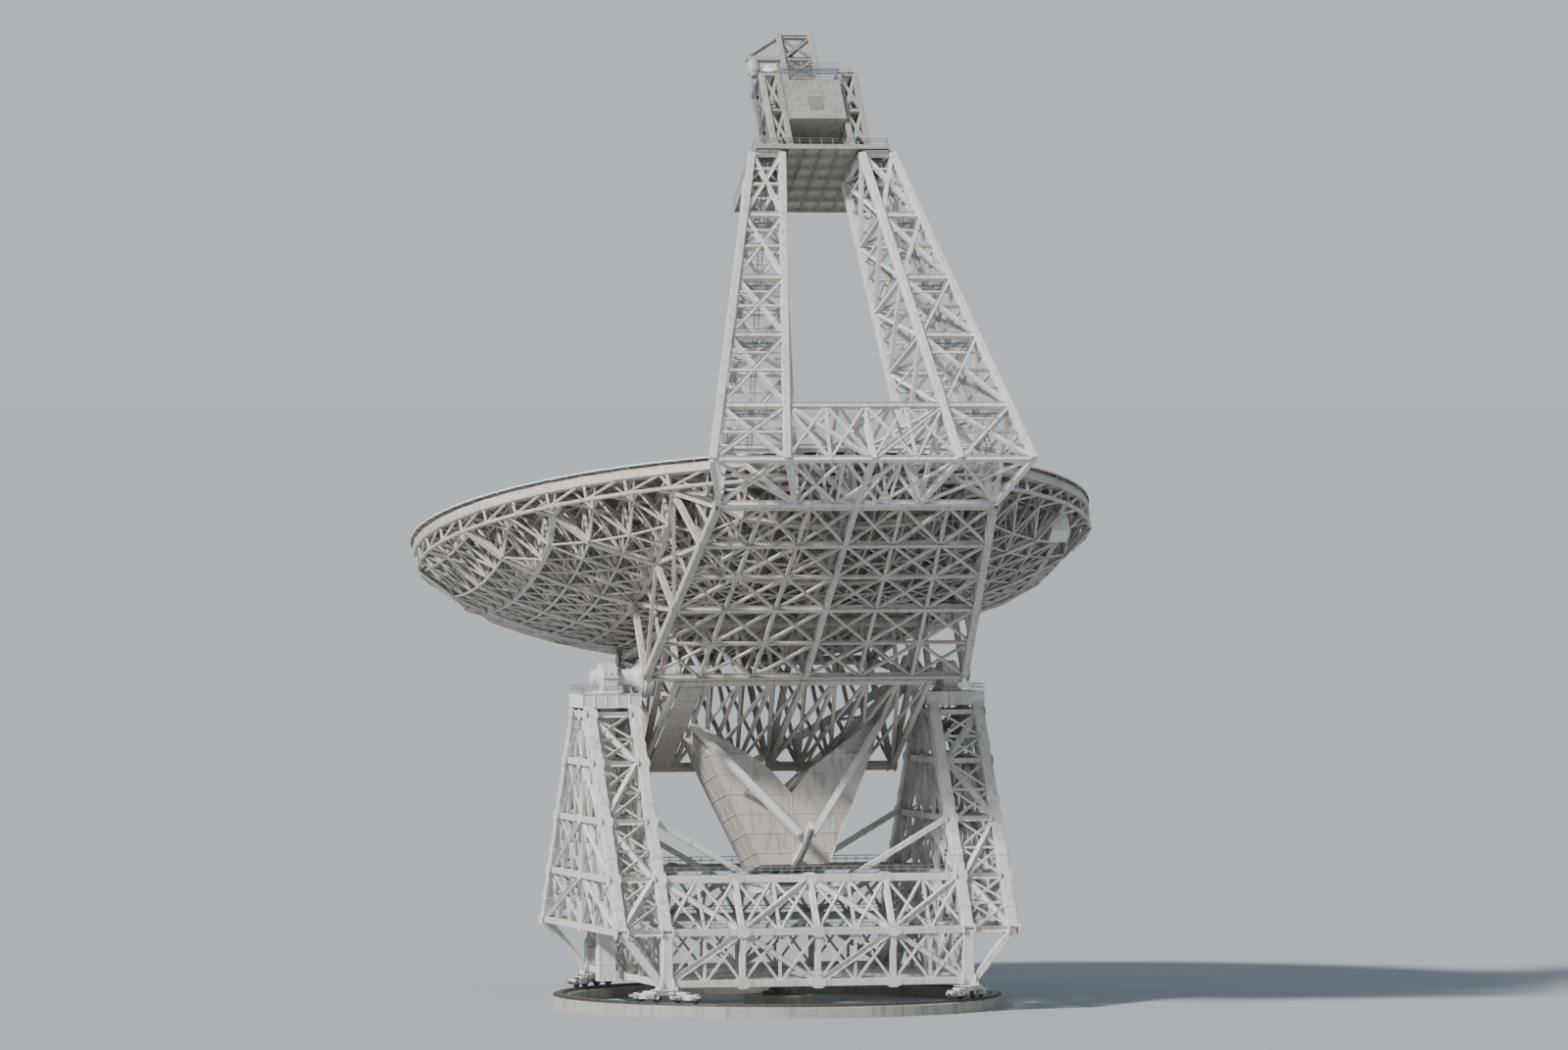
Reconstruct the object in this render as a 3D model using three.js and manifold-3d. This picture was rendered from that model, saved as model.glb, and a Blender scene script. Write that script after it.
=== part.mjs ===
// Radio telescope dish, a 100 metre class steerable offset paraboloid on a wheel-and-track mount.
// Scale model at 1:10. Sizes below are metres of the real telescope; the shapes are in millimetres.
// +Z is up, the origin is on the azimuth axis at ground level, and +X runs along the elevation axle.
// Inside the tipping frame, x is the axle, h is horizontal at zenith and v is up at zenith.

import * as THREE from 'three';
import { mergeVertices } from 'three/addons/utils/BufferGeometryUtils.js';
import Module from 'manifold-3d';

const wasm = await Module();
wasm.setup();

const METRE = 100;
const GAP = 0.003;
const AXLE_HEIGHT = 48.3;
const REST_TILT = THREE.MathUtils.degToRad(36);

// Track and pintle
const TRACK_RADIUS = 32;
const TRACK_HALF_WIDTH = 1.4;
const TRACK_TOP = 1.6;
const RAIL_HALF_WIDTH = 0.45;
const RAIL_TOP = 2;
const PINTLE_RADIUS = 1.2;
const PINTLE_FOOT_RADIUS = 5;
const PINTLE_RING_RADIUS = 2.6;
const PINTLE_TOP = 5.7;

// Alidade
const CORNER = TRACK_RADIUS / Math.SQRT2;
const OUTER_X = 29.4;
const LEG = 1.6;
const CHORD = 1.1;
const BRACE = 0.8;
const FRAME_FOOT = 3.9;
const LEVELS = [4.6, 12, 19.5, 27.7, 36, 43];
const KNEE_LEVEL = LEVELS[1];
const TOWER_TOP_Y = 3;
const TOWER_TOP = 45;
const HEAD_TOP = 46;
const BEARING_X = 25.8;
const WHEEL_RADIUS = 0.75;
const WHEEL_WIDTH = 0.5;
const WHEEL_OFFSETS = [-4.6, -1.7, 1.7, 4.6];
const TRUCK_HALF_LENGTH = 5.6;
const TRUCK_HALF_WIDTH = 0.9;
const PEDESTAL_HALF_LENGTH = 1.8;
const PEDESTAL_HALF_WIDTH = 1.5;
const DECK_LEVEL = 17.6;
const DECK_THICKNESS = 0.8;
const DECK_BEAM_X = 5;

// Tipping frame
const JOURNAL_RADIUS = 1.2;
const JOURNAL_END = 28.2;
const BOX_END_X = 19;
const HUB_X = BOX_END_X + BRACE / 2;
const RIM_RADIUS = 29.3;
const RIM_DEPTH = 1.5;
const RIM_WIDTH = 1;
const RIM_START = -6;
const RIM_END = 101;
const SPOKE_ANGLES = [0, 25, 50, 75, 95];
const SPOKE = 1;
const SPOKE_ROOT_X = 20;
const SPOKE_START = 1.6;
const SPOKE_FINISH = 28.4;
const TIE_RADIUS = 19;
const BALLAST_ANGLE = 25;
const BALLAST_OUTLINE = [[15.5, 5.5], [5.2, 28.5], [GAP, 28.5], [GAP, 18], [3, 14.5]];
const BALLAST_SIDES = [[1.5, 5.5], [4.5, 12.3], [4.5, 28.5]];
const BOX_LOW_REAR = [-12, -9];
const BOX_LOW_FRONT = [12.5, -7.5];
const BOX_TOP_H = 14;

// Reflector
const FOCAL_LENGTH = 60;
const VERTEX_H = -54;
const VERTEX_V = 5;
const DISH_RADIUS = 50;
const HUB_PANEL_RADIUS = 18;
const SECTORS = 8;
const PANEL = 0.35;
const BACKUP_DEPTH = 11;
const BACKUP_TAPER = 0.5;
const RIM_DROP = 3;
const RIB_POST_RISE = 1;
const RIM_GIRDER_RADIUS = 49.3;
const RIM_GIRDER = 1.4;
const PANEL_STANDOFF = 1;
const GRID_X = [-38, -24, 0, 24, 38];
const GRID_H = [-42, -28, -14, 0, 14, 28, 42];
const GRID_LIMIT = 46;
const WING_SPLIT = 30;
const CENTRE_SPLIT = 7;

// Feed arm
const ARM_LEVELS = [-5, 4, 15.9, 25.7, 36.4, 47];
const LEG_LOW = ARM_LEVELS[0];
const LEG_HIGH = ARM_LEVELS[5];
const ARM_ROOT = [24, -13.1, -9];
const FOOT_CORNERS = [[23.7, -62], [12.8, -62], [9.2, -51], [20.5, -51]];
const ARM_TIP = [20.5, -51 + BRACE + GAP, -5];
const HEAD_CORNERS = [[10.5, -65], [6, -65], [5, -58], [9.8, -58]];
const DECK_LOW = 47.2;
const DECK_HIGH = 48;
const SUBREFLECTOR_CENTRE = [-57.5, 68.5];
const SUBREFLECTOR_TILT = 29.4;
const SUBREFLECTOR_PROFILE = [[0, 0], [2, -0.28], [4, -1.1], [4, -0.85], [2, 0.02], [0, 0.3]];
const SUBREFLECTOR_BACKING = 1.6;
const MAST_X = 2.4;
const MAST_H = -62.5;
const MAST_LOW = 59.3;
const MAST_HIGH = 71;
const COLUMN_CORNERS = [[4.6, -65.4], [7, -65.4], [7, -59.6], [4.6, -59.6]];
const COLUMN_TOP = 61;
const ROOM_HALF_WIDTH = 4.2;

const paint = { colour: 0xdcdbd5, roughness: 0.55, metalness: 0.1 };
const concrete = { colour: 0xb3aea2, roughness: 0.9, metalness: 0 };
const machinery = { colour: 0x7d8184, roughness: 0.5, metalness: 0.5 };
const panelPaint = { colour: 0xe8e8e4, roughness: 0.6, metalness: 0.05 };

const telescope = new THREE.Group();
const tipping = new THREE.Group();
tipping.position.z = AXLE_HEIGHT * METRE;
tipping.rotation.x = -REST_TILT;
telescope.add(tipping);

const at = (x, y, z) => new THREE.Vector3(x, y, z);

// A closed three.js geometry as a solid that can be joined and cut
function solid(geometry) {
  const bare = geometry.clone();
  bare.deleteAttribute('normal');
  bare.deleteAttribute('uv');
  const merged = mergeVertices(bare, 1e-5);
  return new wasm.Manifold(new wasm.Mesh({
    numProp: 3,
    vertProperties: merged.attributes.position.array,
    triVerts: new Uint32Array(merged.index.array),
  }));
}

// A named mesh in millimetres from a solid in metres
function piece(parent, name, body, look) {
  const mesh = body.getMesh();
  const geometry = new THREE.BufferGeometry();
  const places = Float32Array.from(mesh.vertProperties, (value) => value * METRE);
  geometry.setAttribute('position', new THREE.BufferAttribute(places, 3));
  geometry.setIndex(new THREE.BufferAttribute(mesh.triVerts, 1));
  geometry.computeVertexNormals();
  const material = new THREE.MeshStandardMaterial({
    color: look.colour,
    roughness: look.roughness,
    metalness: look.metalness,
  });
  const part = new THREE.Mesh(geometry, material);
  part.name = name;
  parent.add(part);
}

function block(low, high) {
  const size = high.clone().sub(low);
  const box = new THREE.BoxGeometry(size.x, size.y, size.z);
  box.translate(...low.clone().add(high).multiplyScalar(0.5).toArray());
  return solid(box);
}

// A square bar from one point to another, with its ends run half a width into the joints
function bar(from, to, width, swell = 0) {
  const along = to.clone().sub(from);
  const steep = Math.abs(along.z) > 0.9 * along.length();
  const side = width + swell;
  const box = new THREE.BoxGeometry(side, side, along.length() + 0.9 * width + swell);
  const turn = new THREE.Matrix4().lookAt(from, to, steep ? at(0, 1, 0) : at(0, 0, 1));
  turn.setPosition(from.clone().add(to).multiplyScalar(0.5));
  box.applyMatrix4(turn);
  return solid(box);
}

// Bars are [from, to, width]; swell makes them thicker for use as a cutter
function lattice(bars, swell = 0) {
  return wasm.Manifold.union(bars.map(([from, to, width]) => bar(from, to, width, swell)));
}

// A convex polygon with its sides moved inward by a distance, or nothing where it closes up
function inset(corners, distance) {
  const count = corners.length;
  const centre = corners.reduce(([a, b], [x, y]) => [a + x / count, b + y / count], [0, 0]);
  const sides = corners.map(([x, y], i) => {
    const [nx, ny] = corners[(i + 1) % count];
    const length = Math.hypot(nx - x, ny - y);
    let normal = [(y - ny) / length, (nx - x) / length];
    if (normal[0] * (centre[0] - x) + normal[1] * (centre[1] - y) < 0) {
      normal = normal.map((value) => -value);
    }
    return { normal, reach: normal[0] * x + normal[1] * y + distance };
  });
  const moved = sides.map((side, i) => {
    const last = sides[(i + sides.length - 1) % sides.length];
    const cross = last.normal[0] * side.normal[1] - last.normal[1] * side.normal[0];
    return [(last.reach * side.normal[1] - side.reach * last.normal[1]) / cross,
      (last.normal[0] * side.reach - side.normal[0] * last.reach) / cross];
  });
  const behind = ([x, y], { normal, reach }) => normal[0] * x + normal[1] * y > reach - 1e-6;
  return moved.every((corner) => sides.every((line) => behind(corner, line))) ? moved : null;
}

// A prism over a polygon in the XY plane between two heights
function prism(corners, low, high) {
  const shape = new THREE.Shape(corners.map(([x, y]) => new THREE.Vector2(x, y)));
  const extrusion = new THREE.ExtrudeGeometry(shape, { depth: high - low, bevelEnabled: false });
  extrusion.translate(0, 0, low);
  return solid(extrusion);
}

// A flat truss in the XY plane: an outline with its cells cut out of it, half the bar width inside
// their edges, and thick through Z
function flatTruss(outline, cells, width, thickness) {
  const holes = cells.map((cell) => inset(cell, width / 2)).filter((hole) => hole);
  const plate = prism(outline, -thickness / 2, thickness / 2);
  return plate.subtract(wasm.Manifold.union(holes.map((hole) => prism(hole, -thickness, thickness))));
}

// The biggest body left after a cut, without the slivers cut off with it
function main(body) {
  const bodies = body.decompose();
  return bodies.reduce((best, next) => (next.volume() > best.volume() ? next : best));
}

// Part of a flat ring, as corners going out along one radius and back along the other
function ringCorners(inner, outer, start, end, steps) {
  const angles = Array.from({ length: steps + 1 }, (_, i) => start + (end - start) * i / steps);
  const arc = (radius) => angles.map((a) => [radius * Math.cos(a), radius * Math.sin(a)]);
  return [...arc(outer), ...arc(inner).reverse()];
}

// A faceted drum along Z, turned by part of a facet from lying with a flat face down
function drum(radius, low, high, sides = 24, turn = 0.5) {
  const cylinder = new THREE.CylinderGeometry(radius, radius, high - low, sides);
  cylinder.rotateY(turn * 2 * Math.PI / sides);
  cylinder.rotateX(Math.PI / 2);
  cylinder.translate(0, 0, (low + high) / 2);
  return solid(cylinder);
}

// A drum along X
function axleDrum(radius, low, high, sides = 24, turn = 0.5) {
  return drum(radius, low, high, sides, turn).rotate([0, 90, 0]);
}

// Track ring on its concrete wall, in four quarters, with the pintle foundation in the middle
function buildFoundation() {
  const quarters = ['front_right', 'front_left', 'rear_left', 'rear_right'];
  const ring = (half, start, end) => ringCorners(TRACK_RADIUS - half, TRACK_RADIUS + half, start, end, 6);
  const step = Math.PI / 2;
  quarters.forEach((name, i) => {
    const slit = GAP / TRACK_RADIUS;
    const start = -Math.PI / 2 + i * step + slit;
    const end = start + step - 2 * slit;
    const wall = prism(ring(TRACK_HALF_WIDTH, start, end), 0, TRACK_TOP);
    const rail = prism(ring(RAIL_HALF_WIDTH, start, end), TRACK_TOP / 2, RAIL_TOP);
    const body = wall.add(rail);
    piece(telescope, `track_${name}`, body, concrete);
  });
  const pin = drum(PINTLE_RADIUS, TRACK_TOP / 2, PINTLE_TOP, 24, 0);
  piece(telescope, 'pintle_foundation', drum(PINTLE_FOOT_RADIUS, 0, TRACK_TOP).add(pin), concrete);
}

// Half the distance between the front and rear legs at a height
function legY(z) {
  const rise = Math.max(0, z - KNEE_LEVEL) / (TOWER_TOP - KNEE_LEVEL);
  return CORNER + (TOWER_TOP_Y - CORNER) * rise;
}

// Four-wheel trucks under the corners, with the wheels on the rail
function buildTrucks() {
  const sides = 16;
  const lift = WHEEL_RADIUS * Math.cos(Math.PI / sides);
  const centred = (halfWidth, halfLength, low, high) => block(
    at(TRACK_RADIUS - halfWidth, -halfLength, low),
    at(TRACK_RADIUS + halfWidth, halfLength, high),
  );
  const headings = { front_right: -45, front_left: -135, rear_left: 135, rear_right: 45 };
  for (const [name, degrees] of Object.entries(headings)) {
    const pieces = [
      centred(TRUCK_HALF_WIDTH, TRUCK_HALF_LENGTH, RAIL_TOP + 0.7, FRAME_FOOT - 0.6),
      centred(PEDESTAL_HALF_WIDTH, PEDESTAL_HALF_LENGTH, FRAME_FOOT - 0.9, FRAME_FOOT - GAP),
    ];
    for (const offset of WHEEL_OFFSETS) {
      const wheel = axleDrum(WHEEL_RADIUS, -WHEEL_WIDTH / 2, WHEEL_WIDTH / 2, sides);
      const swing = THREE.MathUtils.radToDeg(offset / TRACK_RADIUS);
      pieces.push(wheel.translate([TRACK_RADIUS, 0, RAIL_TOP + lift + GAP]).rotate([0, 0, swing]));
    }
    const body = wasm.Manifold.union(pieces).rotate([0, 0, degrees]);
    piece(telescope, `truck_${name}`, body, machinery);
  }
}

// Bars of the two-tier truss across the front (-1) or the rear (1) of the base
function baseTrussBars(side) {
  const stations = [-22.6, -11.3, 0, 11.3, 22.6];
  const joint = (x, z) => at(x, side * legY(z), z);
  const bars = LEVELS.slice(0, 3).map((z) => [joint(-CORNER, z), joint(CORNER, z), CHORD]);
  for (let tier = 0; tier < 2; tier += 1) {
    const [low, high] = [LEVELS[tier], LEVELS[tier + 1]];
    stations.slice(1, -1).forEach((x) => {
      bars.push([joint(x, low), joint(x, high), BRACE]);
    });
    for (let bay = 0; bay < 4; bay += 1) {
      const rising = (bay + tier) % 2 === 0;
      const [zA, zB] = rising ? [low, high] : [high, low];
      bars.push([joint(stations[bay], zA), joint(stations[bay + 1], zB), BRACE]);
    }
  }
  return bars;
}

const baseTrussCutter = () => lattice([...baseTrussBars(-1), ...baseTrussBars(1)], 2 * GAP);

function buildBaseTrusses() {
  const trim = block(at(-CORNER + LEG / 2 + GAP, -40, 0), at(CORNER - LEG / 2 - GAP, 40, 30));
  for (const [name, side] of [['front', -1], ['rear', 1]]) {
    piece(telescope, `base_truss_${name}`, lattice(baseTrussBars(side)).intersect(trim), paint);
  }
}

// Bars of an A-frame in the plane X = x, from the given level up
function sideFrameBars(x, firstLevel) {
  const bars = [];
  for (const side of [-1, 1]) {
    bars.push([at(x, side * legY(KNEE_LEVEL), KNEE_LEVEL), at(x, side * TOWER_TOP_Y, TOWER_TOP), LEG]);
  }
  LEVELS.slice(firstLevel).forEach((z, i, levels) => {
    bars.push([at(x, -legY(z), z), at(x, legY(z), z), CHORD]);
    if (i + 1 < levels.length) {
      const next = levels[i + 1];
      bars.push([at(x, -legY(z), z), at(x, 0, next), BRACE]);
      bars.push([at(x, legY(z), z), at(x, 0, next), BRACE]);
    }
  });
  return bars;
}

function innerFrameBars(side) {
  const bars = sideFrameBars(side * CORNER, 0);
  for (const end of [-1, 1]) {
    bars.push([at(side * CORNER, end * CORNER, LEVELS[0]), at(side * CORNER, end * CORNER, KNEE_LEVEL), LEG]);
  }
  return bars;
}

// Inner and outer frames of both towers, with the ties that join the outer legs to the inner ones
function buildTowers() {
  for (const [name, side] of [['left', -1], ['right', 1]]) {
    const slab = block(at(-60, -60, FRAME_FOOT), at(60, 60, TOWER_TOP - 1 - GAP));
    piece(telescope, `tower_inner_frame_${name}`, lattice(innerFrameBars(side)).intersect(slab), paint);

    const outerBars = sideFrameBars(side * OUTER_X, 1);
    for (const end of [-1, 1]) {
      const outer = (z) => at(side * OUTER_X, end * legY(z), z);
      const inner = (z) => at(side * CORNER, end * legY(z), z);
      outerBars.push([outer(KNEE_LEVEL), inner(LEVELS[0]), CHORD]);
      LEVELS.slice(1).forEach((z, i, levels) => {
        outerBars.push([outer(z), inner(z), BRACE]);
        if (i + 1 < levels.length) {
          const next = levels[i + 1];
          const [zIn, zOut] = i % 2 === 0 ? [next, z] : [z, next];
          outerBars.push([outer(zOut), inner(zIn), BRACE]);
        }
      });
    }
    const face = CORNER + LEG / 2 + GAP;
    const outside = side > 0 ? block(at(face, -60, 0), at(60, 60, TOWER_TOP - 1 - GAP))
      : block(at(-60, -60, 0), at(-face, 60, TOWER_TOP - 1 - GAP));
    piece(telescope, `tower_outer_frame_${name}`, main(lattice(outerBars).intersect(outside)), paint);
  }
}

// Tower heads with the pillow blocks that carry the elevation journals
function buildBearings() {
  const bore = (JOURNAL_RADIUS + GAP) / Math.cos(Math.PI / 24);
  for (const [name, side] of [['left', -1], ['right', 1]]) {
    const x = (low, high) => (side > 0 ? [low, high] : [-high, -low]);
    const [deckLow, deckHigh] = x(CORNER - 1, OUTER_X + 1);
    const [blockLow, blockHigh] = x(BEARING_X - 1.5, BEARING_X + 1.5);
    const deck = block(at(deckLow, -4.2, TOWER_TOP - 1), at(deckHigh, 4.2, HEAD_TOP));
    const pillow = block(at(blockLow, -2.6, HEAD_TOP - 0.2), at(blockHigh, 2.6, AXLE_HEIGHT + 2.2));
    const hole = axleDrum(bore, blockLow - 1, blockHigh + 1).translate([0, 0, AXLE_HEIGHT]);
    piece(telescope, `bearing_head_${name}`, deck.add(pillow).subtract(hole), machinery);
  }
}

// Bearing ring around the pintle, on four radial beams from the corners
function buildPintle() {
  const bore = drum((PINTLE_RADIUS + GAP) / Math.cos(Math.PI / 24), 0, 10);
  const ring = drum(PINTLE_RING_RADIUS, LEVELS[0] - 1.3, LEVELS[0] + 0.9, 16);
  const reach = TRACK_RADIUS - LEG / 2;
  const beams = [45, 135, 225, 315].map((angle) => {
    const half = CHORD / 2;
    return block(at(0, -half, LEVELS[0] - half), at(reach, half, LEVELS[0] + half)).rotate([0, 0, angle]);
  });
  const frames = lattice([...innerFrameBars(-1), ...innerFrameBars(1)], 2 * GAP).add(baseTrussCutter());
  const body = main(wasm.Manifold.union([ring, ...beams]).subtract(bore).subtract(frames));
  piece(telescope, 'pintle_bearing_and_radial_beams', body, machinery);
}

// Deck under the elevation wheel with its drive housing, on two beams between the base trusses,
// with knee braces up to the inner legs
function buildDrivePlatform() {
  const z = DECK_LEVEL;
  const beamTop = z + CHORD / 2;
  const kneeTop = LEVELS[3];
  const span = legY(z) - CHORD;
  const bars = [];
  for (const x of [-DECK_BEAM_X, DECK_BEAM_X]) {
    bars.push([at(x, -span, z), at(x, span, z), CHORD]);
    for (const side of [-1, 1]) {
      const y = side * legY(kneeTop);
      bars.push([at(x, y, beamTop - 0.3), at(Math.sign(x) * CORNER, y, kneeTop), BRACE]);
    }
  }
  const deck = block(at(-5.4, -6, z), at(5.4, 6, z + DECK_THICKNESS));
  const housing = block(at(-2.4, -2.2, z + 0.5), at(2.4, 2.2, AXLE_HEIGHT - RIM_RADIUS - 0.06));
  const inside = block(at(-CORNER + LEG / 2 + GAP, -40, 0), at(CORNER - LEG / 2 - GAP, 40, 60));
  const body = lattice(bars).add(deck).add(housing).intersect(inside).subtract(baseTrussCutter());
  piece(telescope, 'elevation_drive_platform', body, machinery);
}

// Lift shaft in the left tower, hung from the tower head
function buildLift() {
  const x = -(CORNER + OUTER_X) / 2;
  const body = block(at(x - 1.2, -1.2, LEVELS[0] - 0.6), at(x + 1.2, 1.2, TOWER_TOP - 1 - GAP));
  piece(telescope, 'lift_shaft_left', body, paint);
}

// Height of the reflecting surface over the axle, and of the backup structure's underside
const surface = (x, h) => VERTEX_V + ((h - VERTEX_H) ** 2 + x ** 2) / (4 * FOCAL_LENGTH);
const underside = (x, h) => {
  const outwards = Math.hypot(x, h) / DISH_RADIUS;
  return surface(x, h) - BACKUP_DEPTH * (1 - BACKUP_TAPER * outwards ** 4);
};

// A geometry with each vertex moved by a function
function reshape(geometry, move) {
  const places = geometry.attributes.position;
  for (let i = 0; i < places.count; i += 1) {
    const moved = move(places.getX(i), places.getY(i), places.getZ(i));
    places.setXYZ(i, ...moved);
  }
  return solid(geometry);
}

// The middle of the reflector, as a round sheet between two offsets from the surface
function middlePanel(low, high) {
  const radii = [0, HUB_PANEL_RADIUS / 2, HUB_PANEL_RADIUS];
  const profile = [...radii.map((r) => new THREE.Vector2(r, low)),
    ...[...radii].reverse().map((r) => new THREE.Vector2(r, high))];
  const sheet = new THREE.LatheGeometry(profile, 4 * SECTORS);
  return reshape(sheet, (x, y, z) => [x, -z, surface(x, -z) + y]);
}

// One outer sector of the reflector between two offsets from the surface
function outerPanel(index, low, high, slit = GAP) {
  const sheet = new THREE.BoxGeometry(1, 1, 1, 3, 4, 1);
  const width = 2 * Math.PI / SECTORS;
  const trim = slit / HUB_PANEL_RADIUS;
  return reshape(sheet, (a, b, c) => {
    const radius = HUB_PANEL_RADIUS + slit + (a + 0.5) * (DISH_RADIUS - HUB_PANEL_RADIUS - slit);
    const angle = index * width + trim + (b + 0.5) * (width - 2 * trim);
    const [x, h] = [radius * Math.cos(angle), radius * Math.sin(angle)];
    return [x, h, surface(x, h) + low + (c + 0.5) * (high - low)];
  });
}

function buildReflector() {
  piece(tipping, 'reflector_middle', middlePanel(-PANEL, 0), panelPaint);
  for (let i = 0; i < SECTORS; i += 1) {
    piece(tipping, `reflector_sector_${i + 1}`, outerPanel(i, -PANEL, 0), panelPaint);
  }
}

// What the reflector needs clear under it
function reflectorCutter() {
  const low = -PANEL - GAP;
  const sheets = Array.from({ length: SECTORS }, (_, i) => outerPanel(i, low, 6, 0));
  return wasm.Manifold.union([middlePanel(low, 6), ...sheets]);
}

const chordTop = (x, h) => surface(x, h) - PANEL - PANEL_STANDOFF;

// One rib of the backup structure as a flat truss: stations along it, and where each lies in the dish
function rib(stations, place) {
  const joints = stations.map((s) => {
    const [x, h] = place(s);
    const low = Math.hypot(x, h) > GRID_LIMIT ? chordTop(x, h) - RIM_DROP : underside(x, h);
    return { s, high: chordTop(x, h), low, rise: surface(x, h) };
  });
  const half = BRACE / 2;
  const outline = [...joints.map(({ s, high }) => [s, high + half]),
    ...[...joints].reverse().map(({ s, low }) => [s, low - half])];
  const cells = [];
  joints.slice(1).forEach((joint, i) => {
    const last = joints[i];
    const deeperLast = last.high - last.low > joint.high - joint.low;
    const [a, b] = [[last.s, last.high], [joint.s, joint.high]];
    const [c, d] = [[joint.s, joint.low], [last.s, last.low]];
    cells.push(...(deeperLast ? [[a, b, d], [b, c, d]] : [[a, b, c], [a, c, d]]));
  });
  const posts = joints.slice(1, -1).map(({ s, high, rise }) => (
    block(at(s - half, high, -half), at(s + half, rise + RIB_POST_RISE, half))));
  return wasm.Manifold.union([flatTruss(outline, cells, BRACE, BRACE), ...posts]);
}

// The backup structure: ribs along and across the dish, and the girder round its rim
function backupBody() {
  const inside = (x, h) => Math.hypot(x, h) < GRID_LIMIT;
  const bodies = [];
  for (const x of GRID_X) {
    const end = Math.sqrt(RIM_GIRDER_RADIUS ** 2 - x ** 2);
    const stations = [-end, ...GRID_H.filter((h) => inside(x, h)), end];
    bodies.push(rib(stations, (h) => [x, h]).rotate([90, 0, 90]).translate([x, 0, 0]));
  }
  for (const h of GRID_H) {
    const end = Math.sqrt(RIM_GIRDER_RADIUS ** 2 - h ** 2);
    const stations = [-end, ...GRID_X.filter((x) => inside(x, h)), end];
    bodies.push(rib(stations, (x) => [x, h]).rotate([90, 0, 0]).translate([0, h, 0]));
  }
  const rimSteps = 24;
  const rimPoint = (i) => {
    const angle = 2 * Math.PI * i / rimSteps;
    const [x, h] = [RIM_GIRDER_RADIUS * Math.cos(angle), RIM_GIRDER_RADIUS * Math.sin(angle)];
    return at(x, h, chordTop(x, h));
  };
  for (let i = 0; i < rimSteps; i += 1) {
    bodies.push(bar(rimPoint(i), rimPoint(i + 1), RIM_GIRDER));
  }
  return wasm.Manifold.union(bodies);
}

// Lower chord of the cross ribs over the axle box
function ribChord(x, h) {
  const [middle, outer] = [underside(0, h), underside(GRID_X[3], h)];
  return middle + (outer - middle) * Math.abs(x) / GRID_X[3];
}

// Corners of the axle box's section: low rear, low front, top front and top rear
function boxSection() {
  const seat = BRACE / 2 + CHORD / 2 - 0.06;
  const top = (h) => [h, ribChord(0, h) - seat];
  return [BOX_LOW_REAR, BOX_LOW_FRONT, top(BOX_TOP_H), top(-BOX_TOP_H)];
}

const BOX_STATIONS = [-BOX_END_X, 0, BOX_END_X];

// Bars of the front (1) or the rear (-1) side of the axle box, with posts up to the backup structure
function boxSideBars(side) {
  const [lowRear, lowFront, topFront, topRear] = boxSection();
  const [low, high] = side > 0 ? [lowFront, topFront] : [lowRear, topRear];
  const bars = [low, high].map((corner) => [at(-BOX_END_X, ...corner), at(BOX_END_X, ...corner), CHORD]);
  for (const x of BOX_STATIONS) {
    bars.push([at(x, ...low), at(x, ...high), BRACE]);
  }
  for (const x of [-BOX_END_X, BOX_END_X]) {
    bars.push([at(x, ...high), at(x, high[0], ribChord(x, high[0]) - BRACE / 2 - 0.35), BRACE]);
  }
  return bars;
}

// Bars across the axle box at a station: its floor, its top and two diagonals
function boxFrameBars(x) {
  const [lowRear, lowFront, topFront, topRear] = boxSection();
  const ends = [[lowRear, lowFront], [topRear, topFront], [lowRear, topFront], [lowFront, topRear]];
  return ends.map(([from, to]) => [at(x, ...from), at(x, ...to), BRACE]);
}

const boxSidesBars = () => [...boxSideBars(-1), ...boxSideBars(1)];
const axleBoxBars = () => [...boxSidesBars(), ...BOX_STATIONS.flatMap(boxFrameBars)];

// The lattice box on the axle: two long sides, and three frames across between them
function buildAxleBox() {
  const sides = lattice(boxSidesBars(), 2 * GAP);
  for (const [name, side] of [['rear', -1], ['front', 1]]) {
    piece(tipping, `axle_box_${name}_side`, lattice(boxSideBars(side)), paint);
  }
  BOX_STATIONS.forEach((x, i) => {
    const name = ['left', 'middle', 'right'][i];
    piece(tipping, `axle_box_frame_${name}`, main(lattice(boxFrameBars(x)).subtract(sides)), paint);
  });
}

const hub = (side, swell = 0) => {
  const [low, high] = side > 0 ? [HUB_X + GAP, HUB_X + 1.6] : [-HUB_X - 1.6, -HUB_X - GAP];
  return axleDrum(3 + swell, low - swell, high + swell);
};

// Journals that turn in the pillow blocks, on hubs bolted to the ends of the axle box
function buildJournals() {
  for (const [name, side] of [['left', -1], ['right', 1]]) {
    const [low, high] = side > 0 ? [HUB_X + 1, JOURNAL_END] : [-JOURNAL_END, -HUB_X - 1];
    const journal = axleDrum(JOURNAL_RADIUS, low, high, 24, 0.4);
    piece(tipping, `elevation_journal_${name}`, hub(side).add(journal), machinery);
  }
}

// A point in the plane through the axle at an angle forward from straight down
function radial(x, r, degrees) {
  const angle = THREE.MathUtils.degToRad(degrees);
  return at(x, r * Math.sin(angle), -r * Math.cos(angle));
}

const coneX = (r) => SPOKE_ROOT_X * (1 - r / RIM_RADIUS);

function spokeBars(side) {
  const place = (r, angle) => radial(side * coneX(r), r, angle);
  const bars = SPOKE_ANGLES.map((angle) => [place(SPOKE_START, angle), place(SPOKE_FINISH, angle), SPOKE]);
  SPOKE_ANGLES.slice(1).forEach((angle, i) => {
    bars.push([place(TIE_RADIUS, SPOKE_ANGLES[i]), place(TIE_RADIUS, angle), BRACE * 0.8]);
  });
  return bars;
}

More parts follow.
